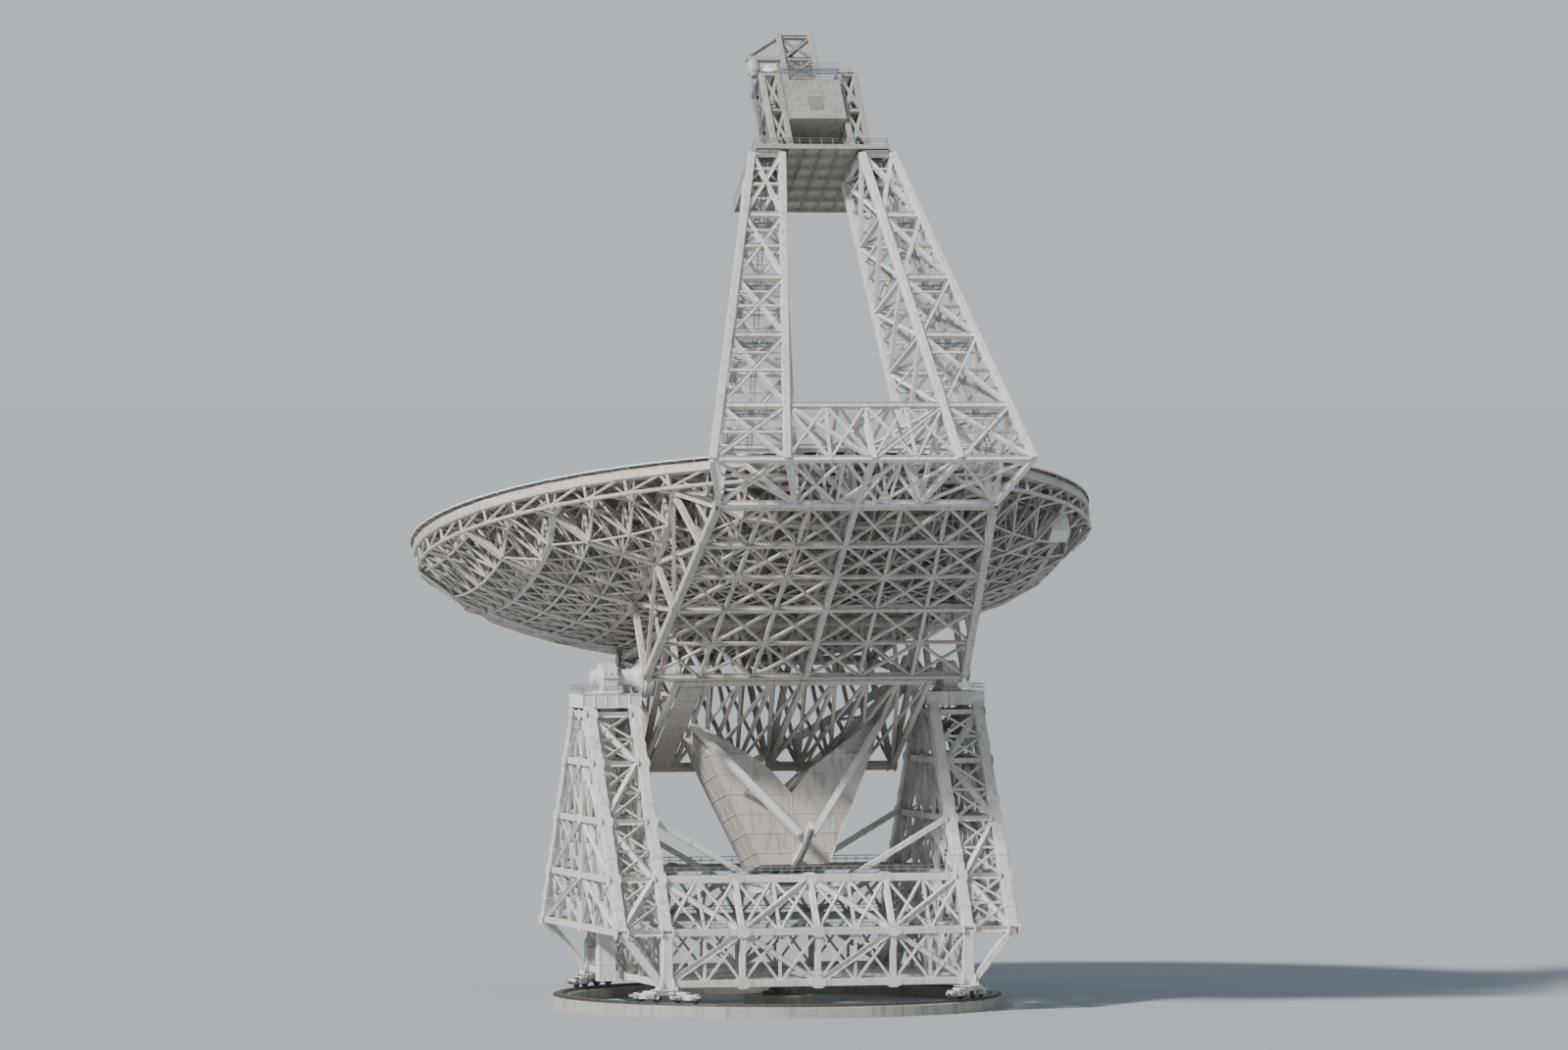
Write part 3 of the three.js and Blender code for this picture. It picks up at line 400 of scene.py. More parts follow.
def weathered_paint(name, fresh, chalked, grime, streaks):
    """Alkyd paint on steel: each member a little different, chalked, with rain streaks and rust spots. The
    patches are 8 m wide on the real structure. The spots are 0.3 m wide, as large as they must be to show."""
    rain = (grime, (16, 16, 1.6), {"Scale": 1, "Detail": 5}, 0.5, 0.75, streaks)
    rust = ("#8A5A3C", None, {"Scale": 34, "Detail": 4, "Roughness": 0.7}, 0.61, 0.72, 0.6)
    brush_marks = ({"Scale": 120, "Detail": 3}, 0.12, 0.002)
    patches = {"Scale": 1.3, "Detail": 5}
    return coat(name, (fresh, chalked), patches, (0.42, 0.68), 0.55, (rain, rust), brush_marks)


white_paint = weathered_paint("weathered_white_alkyd_on_steel", "#E6E3DE", "#C6BFB8", "#8A7A6E", 0.5)
# Grey two-pack enamel on castings and gear cases: half gloss, darker with oil and dust in places
enamel = coat("grey_machine_enamel", ("#6E7275", "#A3A6A6"), {"Scale": 5, "Detail": 7, "Roughness": 0.6},
              (0.3, 0.55), skin=({"Scale": 70, "Detail": 2}, 0.2, 0.002))

wheel = turned([
    (0, 0.3), (0.16, 0.3), (0.2, 0.2), (0.5, 0.12), (0.6, 0.14), (0.64, 0.25), (0.75, 0.25), (0.75, -0.25),
    (0.64, -0.25), (0.6, -0.14), (0.5, -0.12), (0.2, -0.2), (0.16, -0.3), (0, -0.3),
], steps=24)
axle_box = turned([(0, 0.14), (0.2, 0.14), (0.24, 0.08), (0.24, -0.14), (0, -0.14)], steps=12)
motor = turned([(0, 0.5), (0.14, 0.5), (0.22, 0.42), (0.22, -0.4), (0.26, -0.4), (0.26, -0.5), (0, -0.5)],
               steps=12)
side_plate = plate_work((0.12, BOGIE_LENGTH, 0.8), (0, 0, 0.85 + RAIL_TOP), 0.28, axis=0)
cross_beam = plate_work((1, 0.5, 0.5), (TRACK_RADIUS, 0, RAIL_TOP + 1.05), 0.05)
gear_case = plate_work((0.4, 0.7, 0.62), (0, 0, WHEEL_CENTRE), 0.1)
about_x, about_y = about("X", 90), about("Y", 90)

wheels, truck, drives = [], [], []
for offset in WHEEL_OFFSETS:
    swing = about("Z", math.degrees(offset / TRACK_RADIUS))
    add_shape(wheels, wheel, swing @ at(TRACK_RADIUS, 0, WHEEL_CENTRE) @ about_y)
    for side in (-1, 1):
        place = swing @ at(TRACK_RADIUS + side * 0.62, 0, WHEEL_CENTRE)
        add_shape(drives, axle_box, place @ sized(side, 1, 1) @ about_y)
    add_shape(drives, gear_case, swing @ at(TRACK_RADIUS + 0.98, 0, 0))
    along = 1 if offset > 0 else -1
    place = swing @ at(TRACK_RADIUS + 1.02, along * 0.75, WHEEL_CENTRE + 0.1)
    add_shape(drives, motor, place @ sized(1, along, 1) @ about_x @ sized(1, 1, -1))
for side in (-1, 1):
    for face in (-1, 1):
        add_shape(truck, side_plate, at(TRACK_RADIUS + face * 0.5, side * BOGIE_OFFSET, 0))
    for step in (-1.9, 0, 1.9):
        add_shape(truck, cross_beam, at(0, side * BOGIE_OFFSET + step, 0))
for size, height, chamfer in (((1.3, 7.4, 0.55), 3.3, 0.1), ((2.2, 2.6, 0.35), 3.6, 0.08),
                              ((3, 3.6, 0.12), 3.83, 0.03)):
    add_shape(truck, plate_work(size, (TRACK_RADIUS, 0, height), chamfer))
pedestal_rib = plate_work((0.08, 0.9, 0.5), (0, 0, 0), 0.03)
for rib in range(-2, 3):
    for side in (-1, 1):
        add_shape(truck, pedestal_rib, at(TRACK_RADIUS + rib * 0.6, side * 1.5, 3.55))
foot_rib = block((0.1, 1.1, 1.7), (0, 0.55, 0.85))
pick("faces", on_top)
bpy.ops.transform.resize(value=(1, 0.25, 1))
bpy.ops.transform.translate(value=(0, -0.4, 0))
foot_rib = done(foot_rib)
for quarter in range(4):
    add_shape(truck, foot_rib, at(TRACK_RADIUS, 0, EQUALISER_TOP) @ about("Z", quarter * 90) @ at(0, 0.85, 0))

all_wheels, all_trucks, all_drives = [], [], []
for heading in TRUCK_HEADINGS.values():
    for group, one in ((all_drives, drives), (all_wheels, wheels), (all_trucks, truck)):
        add_group(group, one, about("Z", heading))
finish_piece("truck_wheels", all_wheels, rail_steel, "alidade")
finish_piece("truck_drives", all_drives, enamel, "alidade")
finish_piece("truck_frames", all_trucks, white_paint, "alidade", ["truck_" + name for name in TRUCK_HEADINGS])

# Base trusses. Two-tier trusses of welded box chords and rolled posts and diagonals, bolted up through
# gusset plates, close the square of the alidade at its front and rear.
CORNER = TRACK_RADIUS / math.sqrt(2)
LEG = 1.6
CHORD = 1.1
BRACE = 0.8
LACING = 0.42
PLATE = 0.1
LEVELS = (4.6, 12, 19.5, 27.7, 36, 43)
TOWER_TOP_Y = 3
TOWER_TOP = 45
STATION = 11.3
BASE_STATIONS = (-2 * STATION, -STATION, 0, STATION, 2 * STATION)

# Templates of a member lie along Z from -1 to 1 and are 1 wide
member = block((1, 1, 2))
pick("edges", lambda edge: abs((edge.verts[0].co - edge.verts[1].co).z) > 1)
bpy.ops.mesh.bevel(offset=0.07, segments=1, affect="EDGES")
box_bar = done(member)
member = block((1, 1, 2))
pick("faces", lambda face: abs(face.normal.x) > 0.9)
bpy.ops.mesh.inset(thickness=0.13, use_individual=True)
bpy.ops.transform.shrink_fatten(value=-0.38)
flanged = done(member)
member = block((1, 0.8, 2))
pick("faces", lambda face: face.normal.x > 0.9)
bpy.ops.mesh.inset(thickness=0.16)
bpy.ops.transform.shrink_fatten(value=-0.7)
channel = done(member)
member = cylinder(8, 0.5, 2)
pick("faces", lambda face: abs(face.normal.z) > 0.9)
bpy.ops.mesh.inset(thickness=0.1, use_individual=True)
pipe = done(member)
head = cylinder(6, 0.5, 1)
pick("faces", on_top)
bpy.ops.transform.resize(value=(0.8, 0.8, 1))
plain_bolt = done(head)
plate = cylinder(8, 0.54, 1)
bpy.ops.transform.rotate(value=math.radians(22.5), orient_axis="Z", center_override=(0, 0, 0))
pick("faces", on_top)
bpy.ops.mesh.inset(thickness=0.03)
gusset = []
add_shape(gusset, done(plate))
# Bolt heads 110 to 180 mm wide on the real plates, as large as they need to be to show
for column in (-0.34, -0.12, 0.12, 0.34):
    for row in ((-0.17, 0.17) if abs(column) > 0.3 else (-0.38, 0.38)):
        add_shape(gusset, plain_bolt, at(column, row, 0.7) @ sized(0.07, 0.07, 0.8))
gusset = joined(gusset)


def add_member(parts, shape, start, end, width, depth=0, reach=0):
    """Adds a member between two joints. Its ends keep their form, and only its middle gets longer. Each is
    made up to 3% slimmer, by its tone, so that members that cross don't share a face."""
    tone = tones.random()
    slimmer = 1 - 0.03 * tone
    depth = (depth or width) * slimmer
    width *= slimmer
    start, end = np.array(start, float), np.array(end, float)
    length = np.linalg.norm(end - start)
    along = (end - start) / length
    across = np.cross((0, 1, 0) if abs(along[2]) > 0.9 else (0, 0, 1), along)
    across /= np.linalg.norm(across)
    corners, faces = shape
    run = np.sign(corners[:, 2]) * (length / 2 + reach - (1 - np.abs(corners[:, 2])) * width)
    axes = np.array([across * width, np.cross(along, across) * depth, along])
    parts.append(((start + end) / 2 + np.column_stack([corners[:, :2], run]) @ axes, faces, tone))


def add_gusset(parts, joint, size, thickness, normal="X"):
    """Adds a pair of gusset plates with clipped corners on the two faces of a joint."""
    turn = about_y @ sized(0.75, 1.1, 1) if normal == "X" else about_x @ sized(1.1, 0.75, 1)
    for side in (-1, 1):
        face = at(*joint) @ turn @ at(0, 0, side * (thickness / 2 + PLATE / 2 - 0.02))
        add_shape(parts, gusset, face @ sized(size, size, side * PLATE))


def between(start, end, part):
    return tuple(a + (b - a) * part for a, b in zip(start, end))


def lace(parts, low_left, low_right, high_left, high_right, bays=1, width=LACING, shape=channel):
    """Crosses light diagonals over a four-sided panel, in bays with posts between them."""
    low = [between(low_left, low_right, i / bays) for i in range(bays + 1)]
    high = [between(high_left, high_right, i / bays) for i in range(bays + 1)]
    for i in range(1, bays):
        add_member(parts, shape, low[i], high[i], width)
    for i in range(bays):
        add_member(parts, shape, low[i], high[i + 1], width)
        add_member(parts, shape, high[i], low[i + 1], width)


def leg_y(z):
    """Half the distance between the front and rear legs at a height."""
    return CORNER + (TOWER_TOP_Y - CORNER) * max(0, z - LEVELS[1]) / (TOWER_TOP - LEVELS[1])


def on_leg(x, side, z):
    """A point in the plane of the front legs (side -1) or the rear legs (side 1)."""
    return (x, side * leg_y(z), z)


for name, side in (("front", -1), ("rear", 1)):
    truss = []
    inner = CORNER - LEG / 2
    for z in LEVELS[:3]:
        add_member(truss, box_bar, on_leg(-inner, side, z), on_leg(inner, side, z), CHORD)
    for tier, (low, high) in enumerate(zip(LEVELS, LEVELS[1:3])):
        for x in BASE_STATIONS[1:-1]:
            add_member(truss, flanged, on_leg(x, side, low), on_leg(x, side, high), BRACE)
        for bay, (a, b) in enumerate(zip(BASE_STATIONS, BASE_STATIONS[1:])):
            foot, head = (b, a) if (bay + tier) % 2 else (a, b)
            add_member(truss, flanged, on_leg(foot, side, low), on_leg(head, side, high), BRACE)
            lace(truss, on_leg(a, side, low), on_leg(b, side, low), on_leg(a, side, high),
                 on_leg(b, side, high), 2)
    for z in LEVELS[:3]:
        for x in BASE_STATIONS[1:-1]:
            add_gusset(truss, on_leg(x, side, z), 2.2, CHORD, "Y")
    finish_piece("base_truss_lattice_" + name, truss, white_paint, "alidade", ["base_truss_" + name])

# Towers. Each tower is two A-shaped frames of box legs with struts and diagonals of rolled section, tied
# to each other by a lattice of lighter members. The inner legs stand straight up from the trucks.
OUTER_X = 29.4
HEAD_BOTTOM = 44
FRAME_FOOT = 3.9
SPLICES = (0.1, 0.33, 0.57, 0.82)
HEAVY_LACING = LACING * 1.2
GUSSET = 2.1


def add_collars(parts, start, end, splices, size):
    """Adds bolted splices round a member at parts of its length."""
    for part in splices:
        add_member(parts, box_bar, between(start, end, part - 0.012), between(start, end, part + 0.012), size)


def tower_frame(parts, x, levels):
    """Legs, struts and diagonals of one A-shaped frame, with its light bracing and its gussets."""
    for side in (-1, 1):
        foot, head = on_leg(x, side, LEVELS[1]), on_leg(x, side, HEAD_BOTTOM)
        add_member(parts, box_bar, foot, head, LEG)
        add_collars(parts, foot, head, SPLICES, LEG + 0.16)
    for z in levels:
        add_member(parts, box_bar, on_leg(x, -1, z), on_leg(x, 1, z), CHORD, CHORD * 0.9)
        for side in (-1, 1):
            add_gusset(parts, on_leg(x, side, z), 2.3, LEG)
        add_gusset(parts, (x, 0, z), GUSSET, CHORD)
    for low, high in zip(levels, levels[1:]):
        for side in (-1, 1):
            add_member(parts, flanged, on_leg(x, side, low), (x, 0, high), BRACE)
            add_member(parts, channel, on_leg(x, side, high), (x, 0, low), HEAVY_LACING)
        lace(parts, on_leg(x, -1, low), on_leg(x, 1, low), on_leg(x, -1, high), on_leg(x, 1, high),
             6 if low < 30 else 4)


for name, side in (("left", -1), ("right", 1)):
    inner_frame, outer_frame = [], []
    x = side * CORNER
    tower_frame(inner_frame, x, LEVELS)
    for end in (-1, 1):
        add_member(inner_frame, box_bar, on_leg(x, end, FRAME_FOOT), on_leg(x, end, LEVELS[1]), LEG)
    tower_frame(outer_frame, side * OUTER_X, LEVELS[1:])
    inner_x, outer_x = side * (CORNER + LEG / 2), side * OUTER_X
    for end in (-1, 1):
        foot, head = on_leg(outer_x, end, LEVELS[1]), on_leg(inner_x, end, LEVELS[0])
        add_member(outer_frame, box_bar, foot, head, CHORD)
        inner = [on_leg(inner_x, end, z) for z in LEVELS[1:]]
        outer = [on_leg(outer_x, end, z) for z in LEVELS[1:]]
        for i in range(len(inner)):
            add_member(outer_frame, flanged, outer[i], inner[i], BRACE)
            if i + 1 == len(inner):
                break
            foot, head = (inner[i], outer[i + 1]) if i % 2 else (outer[i], inner[i + 1])
            add_member(outer_frame, flanged, foot, head, BRACE)
            inner_middle = between(inner[i], inner[i + 1], 0.5)
            outer_middle = between(outer[i], outer[i + 1], 0.5)
            lace(outer_frame, inner[i], outer[i], inner_middle, outer_middle, width=LACING * 0.9)
            lace(outer_frame, inner_middle, outer_middle, inner[i + 1], outer[i + 1], width=LACING * 0.9)
            add_member(outer_frame, channel, inner_middle, outer_middle, LACING)
    for z in LEVELS[1:]:
        lace(outer_frame, on_leg(inner_x, -1, z), on_leg(inner_x, 1, z), on_leg(outer_x, -1, z),
             on_leg(outer_x, 1, z), max(2, round(leg_y(z) / 3)))
    for kind, frame_parts in (("inner", inner_frame), ("outer", outer_frame)):
        finish_piece(f"tower_{kind}_lattice_{name}", frame_parts, white_paint, "alidade",
                     [f"tower_{kind}_frame_{name}"])

# Stairs and lift. Flights of galvanised stairs climb the inside of both towers between landings of open
# grating. The left tower also has a lift in a shaft that is clad with painted sheet.
STAIR_START = LEVELS[0]
FLIGHTS = 10
FLIGHT_RISE = (HEAD_BOTTOM - STAIR_START) / FLIGHTS
FLIGHT_RUN = 4.6
TREADS = 14
STAIR_HALF_WIDTH = 0.5
RAIL_HEIGHT = 1.1
RAIL_PIPE = 0.08
TOWER_MIDDLE = (CORNER + OUTER_X) / 2
LIFT_HALF_WIDTH = 1.2

# Hot-dip galvanised steel: dull bluish grey, with paler and darker crystals of zinc. The crystals are 0.4 m
# wide on the real stairs, far coarser than zinc has, so that they show
galvanised_steel = coat("hot_dip_galvanised_steel", ("#A9AFB2", "#83898D"), {"Scale": 26}, (0.38, 0.6),
                        metal=0.7, pattern="TexVoronoi")
tread = plate_work((STAIR_HALF_WIDTH * 2, 0.3, 0.06), (0, 0, 0), 0.015)
landing = block((1, 1, 1))
pick("faces", on_top)
bpy.ops.mesh.inset(thickness=0.03)
bpy.ops.transform.translate(value=(0, 0, -0.4))
landing = done(landing)


def raised(point, height):
    return (point[0], point[1], point[2] + height)


def add_handrail(parts, corners):
    """Adds posts, a top rail and a knee rail along a line of corners."""
    for start, end in zip(corners, corners[1:]):
        for height in (RAIL_HEIGHT, RAIL_HEIGHT * 0.55):
            add_member(parts, pipe, raised(start, height), raised(end, height), RAIL_PIPE)
        posts = max(1, round(math.dist(start, end) / 1.6))
        for i in range(posts + 1):
            foot = between(start, end, i / posts)
            add_member(parts, pipe, foot, raised(foot, RAIL_HEIGHT), RAIL_PIPE)


slat = block((1, 0.05, 0.06))
pick("faces", on_top)
bpy.ops.transform.resize(value=(1, 0.6, 1))
slat = done(slat)
grating = []
for i in range(8):
    add_shape(grating, slat, at(0, 0.06 + i / 8, 0))
for side in (-1, 1):
    add_shape(grating, slat, at(side * 0.48, 0.5, 0) @ about("Z", 90) @ sized(1, 1.2, 2.2))
grating = joined(grating)


def add_walkway(parts, start, end, width=1):
    """Lays bays of open grating from one point to another, with a handrail on both sides."""
    line = Vector(end) - Vector(start)
    bays = round(line.length / 1.3)
    turn = line.to_track_quat("Y", "Z").to_matrix().to_4x4()
    for i in range(bays):
        bay = at(*between(start, end, i / bays)) @ turn
        add_shape(parts, grating, bay @ sized(width, line.length / bays, 1))
    for side in (-1, 1):
        offset = turn @ Vector((side * width / 2, 0, 0))
        add_handrail(parts, [tuple(Vector(start) + offset), tuple(Vector(end) + offset)])


def add_ladder(parts, low, high, across):
    """Two stringers with rungs every 0.6 m, 0.7 m wide in the direction that is given."""
    offset = Vector(across) * 0.35
    for side in (-1, 1):
        add_member(parts, channel, Vector(low) + offset * side, Vector(high) + offset * side, 0.12)
    rungs = round(math.dist(low, high) / 0.6)
    for i in range(1, rungs):
        rung = Vector(between(low, high, i / rungs))
        add_member(parts, pipe, rung - offset, rung + offset, 0.07)


def on_side(face):
    return abs(face.normal.z) < 0.1


def panelled_block(low, high, rows, border, depth, test):
    """A block of plate that is cut into panels by rows of planes, with each picked panel sunk."""
    size = [b - a for a, b in zip(low, high)]
    thing = block(size, between(low, high, 0.5))
    for axis, count in enumerate(rows):
        for i in range(1, count):
            place, normal = [0, 0, 0], [0, 0, 0]
            place[axis] = low[axis] + size[axis] * i / count
            normal[axis] = 1
            pick_all()
            bpy.ops.mesh.bisect(plane_co=place, plane_no=normal)
    pick("faces", test)
    bpy.ops.mesh.inset(thickness=border, depth=-depth, use_individual=True)
    return done(thing)


walkways = []
for side in (-1, 1):
    for level in LEVELS[1:3]:
        y, z = side * (leg_y(level) - CHORD / 2 - 0.5), level + CHORD / 2
        add_walkway(walkways, (-CORNER + 1.2, y, z), (CORNER - 1.2, y, z), 0.9)
finish_piece("base_truss_walkways", walkways, galvanised_steel, "alidade")
cable_run = []
for bundle in range(5):
    x = CORNER + LEG / 2 + 0.3 + bundle * 0.16
    add_member(cable_run, pipe, (x, 0, LEVELS[0]), (x, 0, HEAD_BOTTOM), 0.12)
x = CORNER + 1.4
add_ladder(cable_run, (x, 0, LEVELS[0]), (x, 0, HEAD_BOTTOM), (1, 0, 0))
finish_piece("tower_cable_ladder", cable_run, galvanised_steel, "alidade")

for name, side in (("left", -1), ("right", 1)):
    stairs = []
    middle = side * TOWER_MIDDLE
    centre = 4.6 if side < 0 else 0  # the left stairs stand beside the lift
    for flight in range(FLIGHTS):
        low = STAIR_START + flight * FLIGHT_RISE
        high = low + FLIGHT_RISE
        swing = -1 if flight % 2 else 1
        reach = FLIGHT_RUN / (2 if low < 30 else 2.6)
        shift = centre if low < 34 else centre * 0.35
        x = middle + swing * 0.65
        foot, head = shift - swing * reach, shift + swing * reach
        for edge in (-STAIR_HALF_WIDTH, STAIR_HALF_WIDTH):
            start, end = (x + edge, foot, low), (x + edge, head, high)
            add_member(stairs, channel, start, end, 0.1, 0.34)
            add_handrail(stairs, [start, end])
        for step in range(1, TREADS):
            add_shape(stairs, tread, at(*between((x, foot, low), (x, head, high), step / TREADS)))
        add_shape(stairs, landing, at(middle, head + swing * 0.6, high) @ sized(2.4, 1.3, 0.14))
        edge = head + swing * 1.2
        add_handrail(stairs, [(middle - 1.2, head, high), (middle - 1.2, edge, high),
                              (middle + 1.2, edge, high), (middle + 1.2, head, high)])
    finish_piece("tower_stairs_" + name, stairs, galvanised_steel, "alidade")

shaft = []
add_shape(shaft, panelled_block((-TOWER_MIDDLE - LIFT_HALF_WIDTH, -LIFT_HALF_WIDTH, LEVELS[0] - 0.6),
                                (-TOWER_MIDDLE + LIFT_HALF_WIDTH, LIFT_HALF_WIDTH, HEAD_BOTTOM), (1, 1, 16),
                                0.14, 0.07, on_side))
finish_piece("lift_shaft_cladding", shaft, white_paint, "alidade", ["lift_shaft_left"], smooth=0)

# Tower heads. A stiffened box girder closes the top of each tower and carries the split pillow block of
# the elevation axle, with its cap bolted down, inside a handrail round the deck.
BEARING_X = 25.8
BEARING_HALF_LENGTH = 1.5
HEAD_TOP = 46
HEAD_HALF_WIDTH = 4.2
BORE = 1.21


def add_guard(parts, low_x, low_y, high_x, high_y, z):
    """Adds a handrail all round a rectangular deck."""
    corners = [(low_x, low_y, z), (high_x, low_y, z), (high_x, high_y, z), (low_x, high_y, z)]
    add_handrail(parts, corners + corners[:1])


half_ring = [(BORE, 1.5), (1.55, 1.5), (1.6, 1.3), (2.1, 1.2), (2.2, 1.1)]
housing_ring = turned(half_ring + [(r, -z) for r, z in reversed(half_ring)])
for name, side in (("left", -1), ("right", 1)):
    head, bearing, rails = [], [], []
    low_x, high_x = sorted((side * (CORNER - 1), side * (OUTER_X + 1)))
    low, high = (low_x, -HEAD_HALF_WIDTH, HEAD_BOTTOM), (high_x, HEAD_HALF_WIDTH, HEAD_TOP)
    add_shape(head, panelled_block(low, high, (5, 5, 1), 0.16, 0.12, on_side))
    x = side * BEARING_X
    add_shape(bearing, housing_ring, at(x, 0, AXLE_HEIGHT) @ about_y)
    add_shape(bearing, plate_work((2 * BEARING_HALF_LENGTH, 5.2, 0.5), (x, 0, HEAD_TOP + 0.25), 0.08))
    add_shape(bearing, plate_work((2.6, 3.8, 0.6), (x, 0, HEAD_TOP + 0.75), 0.12))
    for end in (-1, 1):
        add_shape(bearing, plate_work((2.4, 0.75, 1.7), (x, end * 1.9, HEAD_TOP + 1.45), 0.15))
        add_shape(bearing, plate_work((2.4, 0.8, 0.5), (x, end * 2.1, AXLE_HEIGHT + 0.15), 0.1))
        for bolt in (-0.85, 0, 0.85):
            cap, foot = at(x + bolt, end * 2.2, AXLE_HEIGHT + 0.55), at(x + bolt, end * 2.35, HEAD_TOP + 0.58)
            add_shape(bearing, bolt_head, cap @ sized(0.42, 0.42, 0.5))
            add_shape(bearing, bolt_head, foot @ sized(0.3, 0.3, 0.22))
    add_guard(rails, low_x + 0.1, -4.1, high_x - 0.1, 4.1, HEAD_TOP)
    finish_piece("tower_head_girder_" + name, head, white_paint, "alidade", ["bearing_head_" + name],
                 0)
    finish_piece("pillow_block_" + name, bearing, white_paint, "alidade")
    finish_piece("tower_head_handrail_" + name, rails, galvanised_steel, "alidade")

# Pintle bearing. A cast ring runs round the pin on a roller bearing, and four box beams go out from it to
# the corners of the base, tied to the base trusses by light members in the same plane.
RING_BOTTOM = LEVELS[0] - 1.3
RING_TOP = LEVELS[0] + 0.9
RING_RADIUS = 2.6
RING_NECK = RING_RADIUS - 0.3

pintle, beams = [], []
add_shape(pintle, turned([
    (BORE, RING_BOTTOM), (RING_RADIUS - 0.12, RING_BOTTOM), (RING_RADIUS, RING_BOTTOM + 0.12),
    (RING_RADIUS, RING_BOTTOM + 0.4), (RING_NECK, RING_BOTTOM + 0.5), (RING_NECK, RING_TOP - 0.5),
    (RING_RADIUS, RING_TOP - 0.4), (RING_RADIUS, RING_TOP - 0.12), (RING_RADIUS - 0.12, RING_TOP),
    (BORE, RING_TOP),
]))
add_bolt_ring(pintle, 20, 2.1, RING_TOP + 0.07, 0.26, 0.16)
finish_piece("pintle_bearing_ring", pintle, enamel, "alidade", ["pintle_bearing_and_radial_beams"])
z = LEVELS[0]
edge = CORNER - 0.5
for side in (-1, 1):
    for end in (-1, 1):
        start = (side * RING_RADIUS * 0.68, end * RING_RADIUS * 0.68, z)
        tip = (side * (CORNER - LEG / 2), end * (CORNER - LEG / 2), z)
        add_member(beams, box_bar, start, tip, CHORD)
        middle = between(start, tip, 0.5)
        for target in ((side * STATION, end * edge, z), (side * edge, end * STATION, z)):
            add_member(beams, channel, middle, target, HEAVY_LACING)
            add_member(beams, channel, between(start, tip, 0.78), target, LACING)
        add_member(beams, channel, middle, (0, end * STATION, z), HEAVY_LACING)
for end in (-1, 1):
    add_member(beams, flanged, (0, end * 2.4, z), (0, end * edge, z), BRACE)
    add_member(beams, flanged, (end * 2.4, 0, z), (end * edge, 0, z), BRACE)
finish_piece("pintle_radial_beams", beams, white_paint, "alidade")

# Elevation drive platform. Two long girders carry a deck of open grating under the elevation wheel, with
# knee braces up to the towers. On the deck stand the pinions with their gear cases and motors.
DECK_LEVEL = 17.6
DECK_TOP = 18.4
DECK_BEAM_X = 5
KNEE_TOP = LEVELS[3]
RIM_RADIUS = 29.3
PINION_REACH = RIM_RADIUS + 0.42
PINION_TEETH = 14

platform, drives, rails = [], [], []
span = leg_y(DECK_LEVEL) - 0.6
for x in (-DECK_BEAM_X, DECK_BEAM_X):
    add_member(platform, flanged, (x, -span, DECK_LEVEL), (x, span, DECK_LEVEL), CHORD)
    for end in (-1, 1):
        y = end * leg_y(KNEE_TOP)
        foot, head = (x, y, DECK_LEVEL + 0.3), (math.copysign(CORNER - LEG / 2, x), y, KNEE_TOP)
        add_member(platform, box_bar, foot, head, BRACE)
        add_collars(platform, foot, head, (0.3, 0.7), BRACE + 0.14)
for y in range(-14, 15, 4):
    left, right = (-DECK_BEAM_X, y, DECK_LEVEL), (DECK_BEAM_X, y, DECK_LEVEL)
    add_member(platform, flanged, left, right, 0.6)
    if y < 14:
        lace(platform, left, (-DECK_BEAM_X, y + 4, DECK_LEVEL), right, (DECK_BEAM_X, y + 4, DECK_LEVEL))
for row in range(10):
    for i in range(6):
        add_shape(rails, grating, at(-4.5 + i * 1.8, -6 + row * 1.2, DECK_TOP - 0.08) @ sized(1.76, 1.2, 1))
add_guard(rails, -5.4, -6, 5.4, 6, DECK_TOP)
pinion = turned([(0, 0.6), (0.2, 0.6), (0.22, 0.45), (0.5, 0.45), (0.5, -0.45), (0.22, -0.45), (0.2, -0.6),
                 (0, -0.6)], steps=18)
pinion_tooth = plate_work((0.86, 0.1, 0.08), (0, 0, 0.5), 0.02)
for y in (-1.4, 1.4):
    centre = at(0, y, AXLE_HEIGHT - math.sqrt(PINION_REACH ** 2 - y ** 2))
    add_shape(drives, pinion, centre @ about_y)
    for tooth in range(PINION_TEETH):
        add_shape(drives, pinion_tooth, centre @ about("X", tooth * 360 / PINION_TEETH) @ sized(1, 1, 0.9))
    for side in (-1, 1):
        add_shape(drives, plate_work((0.9, 1.5, 1), (side * 1.15, y, DECK_TOP + 0.3), 0.12))
        add_shape(drives, motor, at(side * 2.1, y, DECK_TOP + 0.25) @ about_y @ sized(1.5, 1.5, 1.2))
finish_piece("elevation_drive_girders", platform, white_paint, "alidade", ["elevation_drive_platform"])
finish_piece("elevation_drive_deck", rails, galvanised_steel, "alidade")
finish_piece("elevation_pinions_and_motors", drives, enamel, "alidade")

# Axle and axle box. Forged journals on flanged hubs are bolted to the ends of a lattice box, which lies
# under the dish and ties the two journals, the elevation wheel and the backup structure together.
GAP = 0.003
BOX_END = 19
BOX_BAYS = 8
BOX_BAY = 2 * BOX_END / BOX_BAYS
BOX_LACING = LACING * 1.3
HUB_X = BOX_END + BRACE / 2
JOURNAL_RADIUS = 1.19
JOURNAL_LENGTH = 28.2 - HUB_X
FOCAL_LENGTH = 60
VERTEX_H = -54
VERTEX_V = 5
DISH_RADIUS = 50
PANEL = 0.35
PANEL_STANDOFF = 1
BACKUP_DEPTH = 11
BACKUP_TAPER = 0.5
RIM_DROP = 3
GRID_LIMIT = 46
MAIN_X = (-38, -24, 0, 24, 38)


def surface(x, h):
    """Height of the reflecting surface over the axle, which is part of one large paraboloid."""
    return VERTEX_V + ((h - VERTEX_H) ** 2 + x ** 2) / (4 * FOCAL_LENGTH)


def top_chord(x, h):
    return surface(x, h) - PANEL - PANEL_STANDOFF


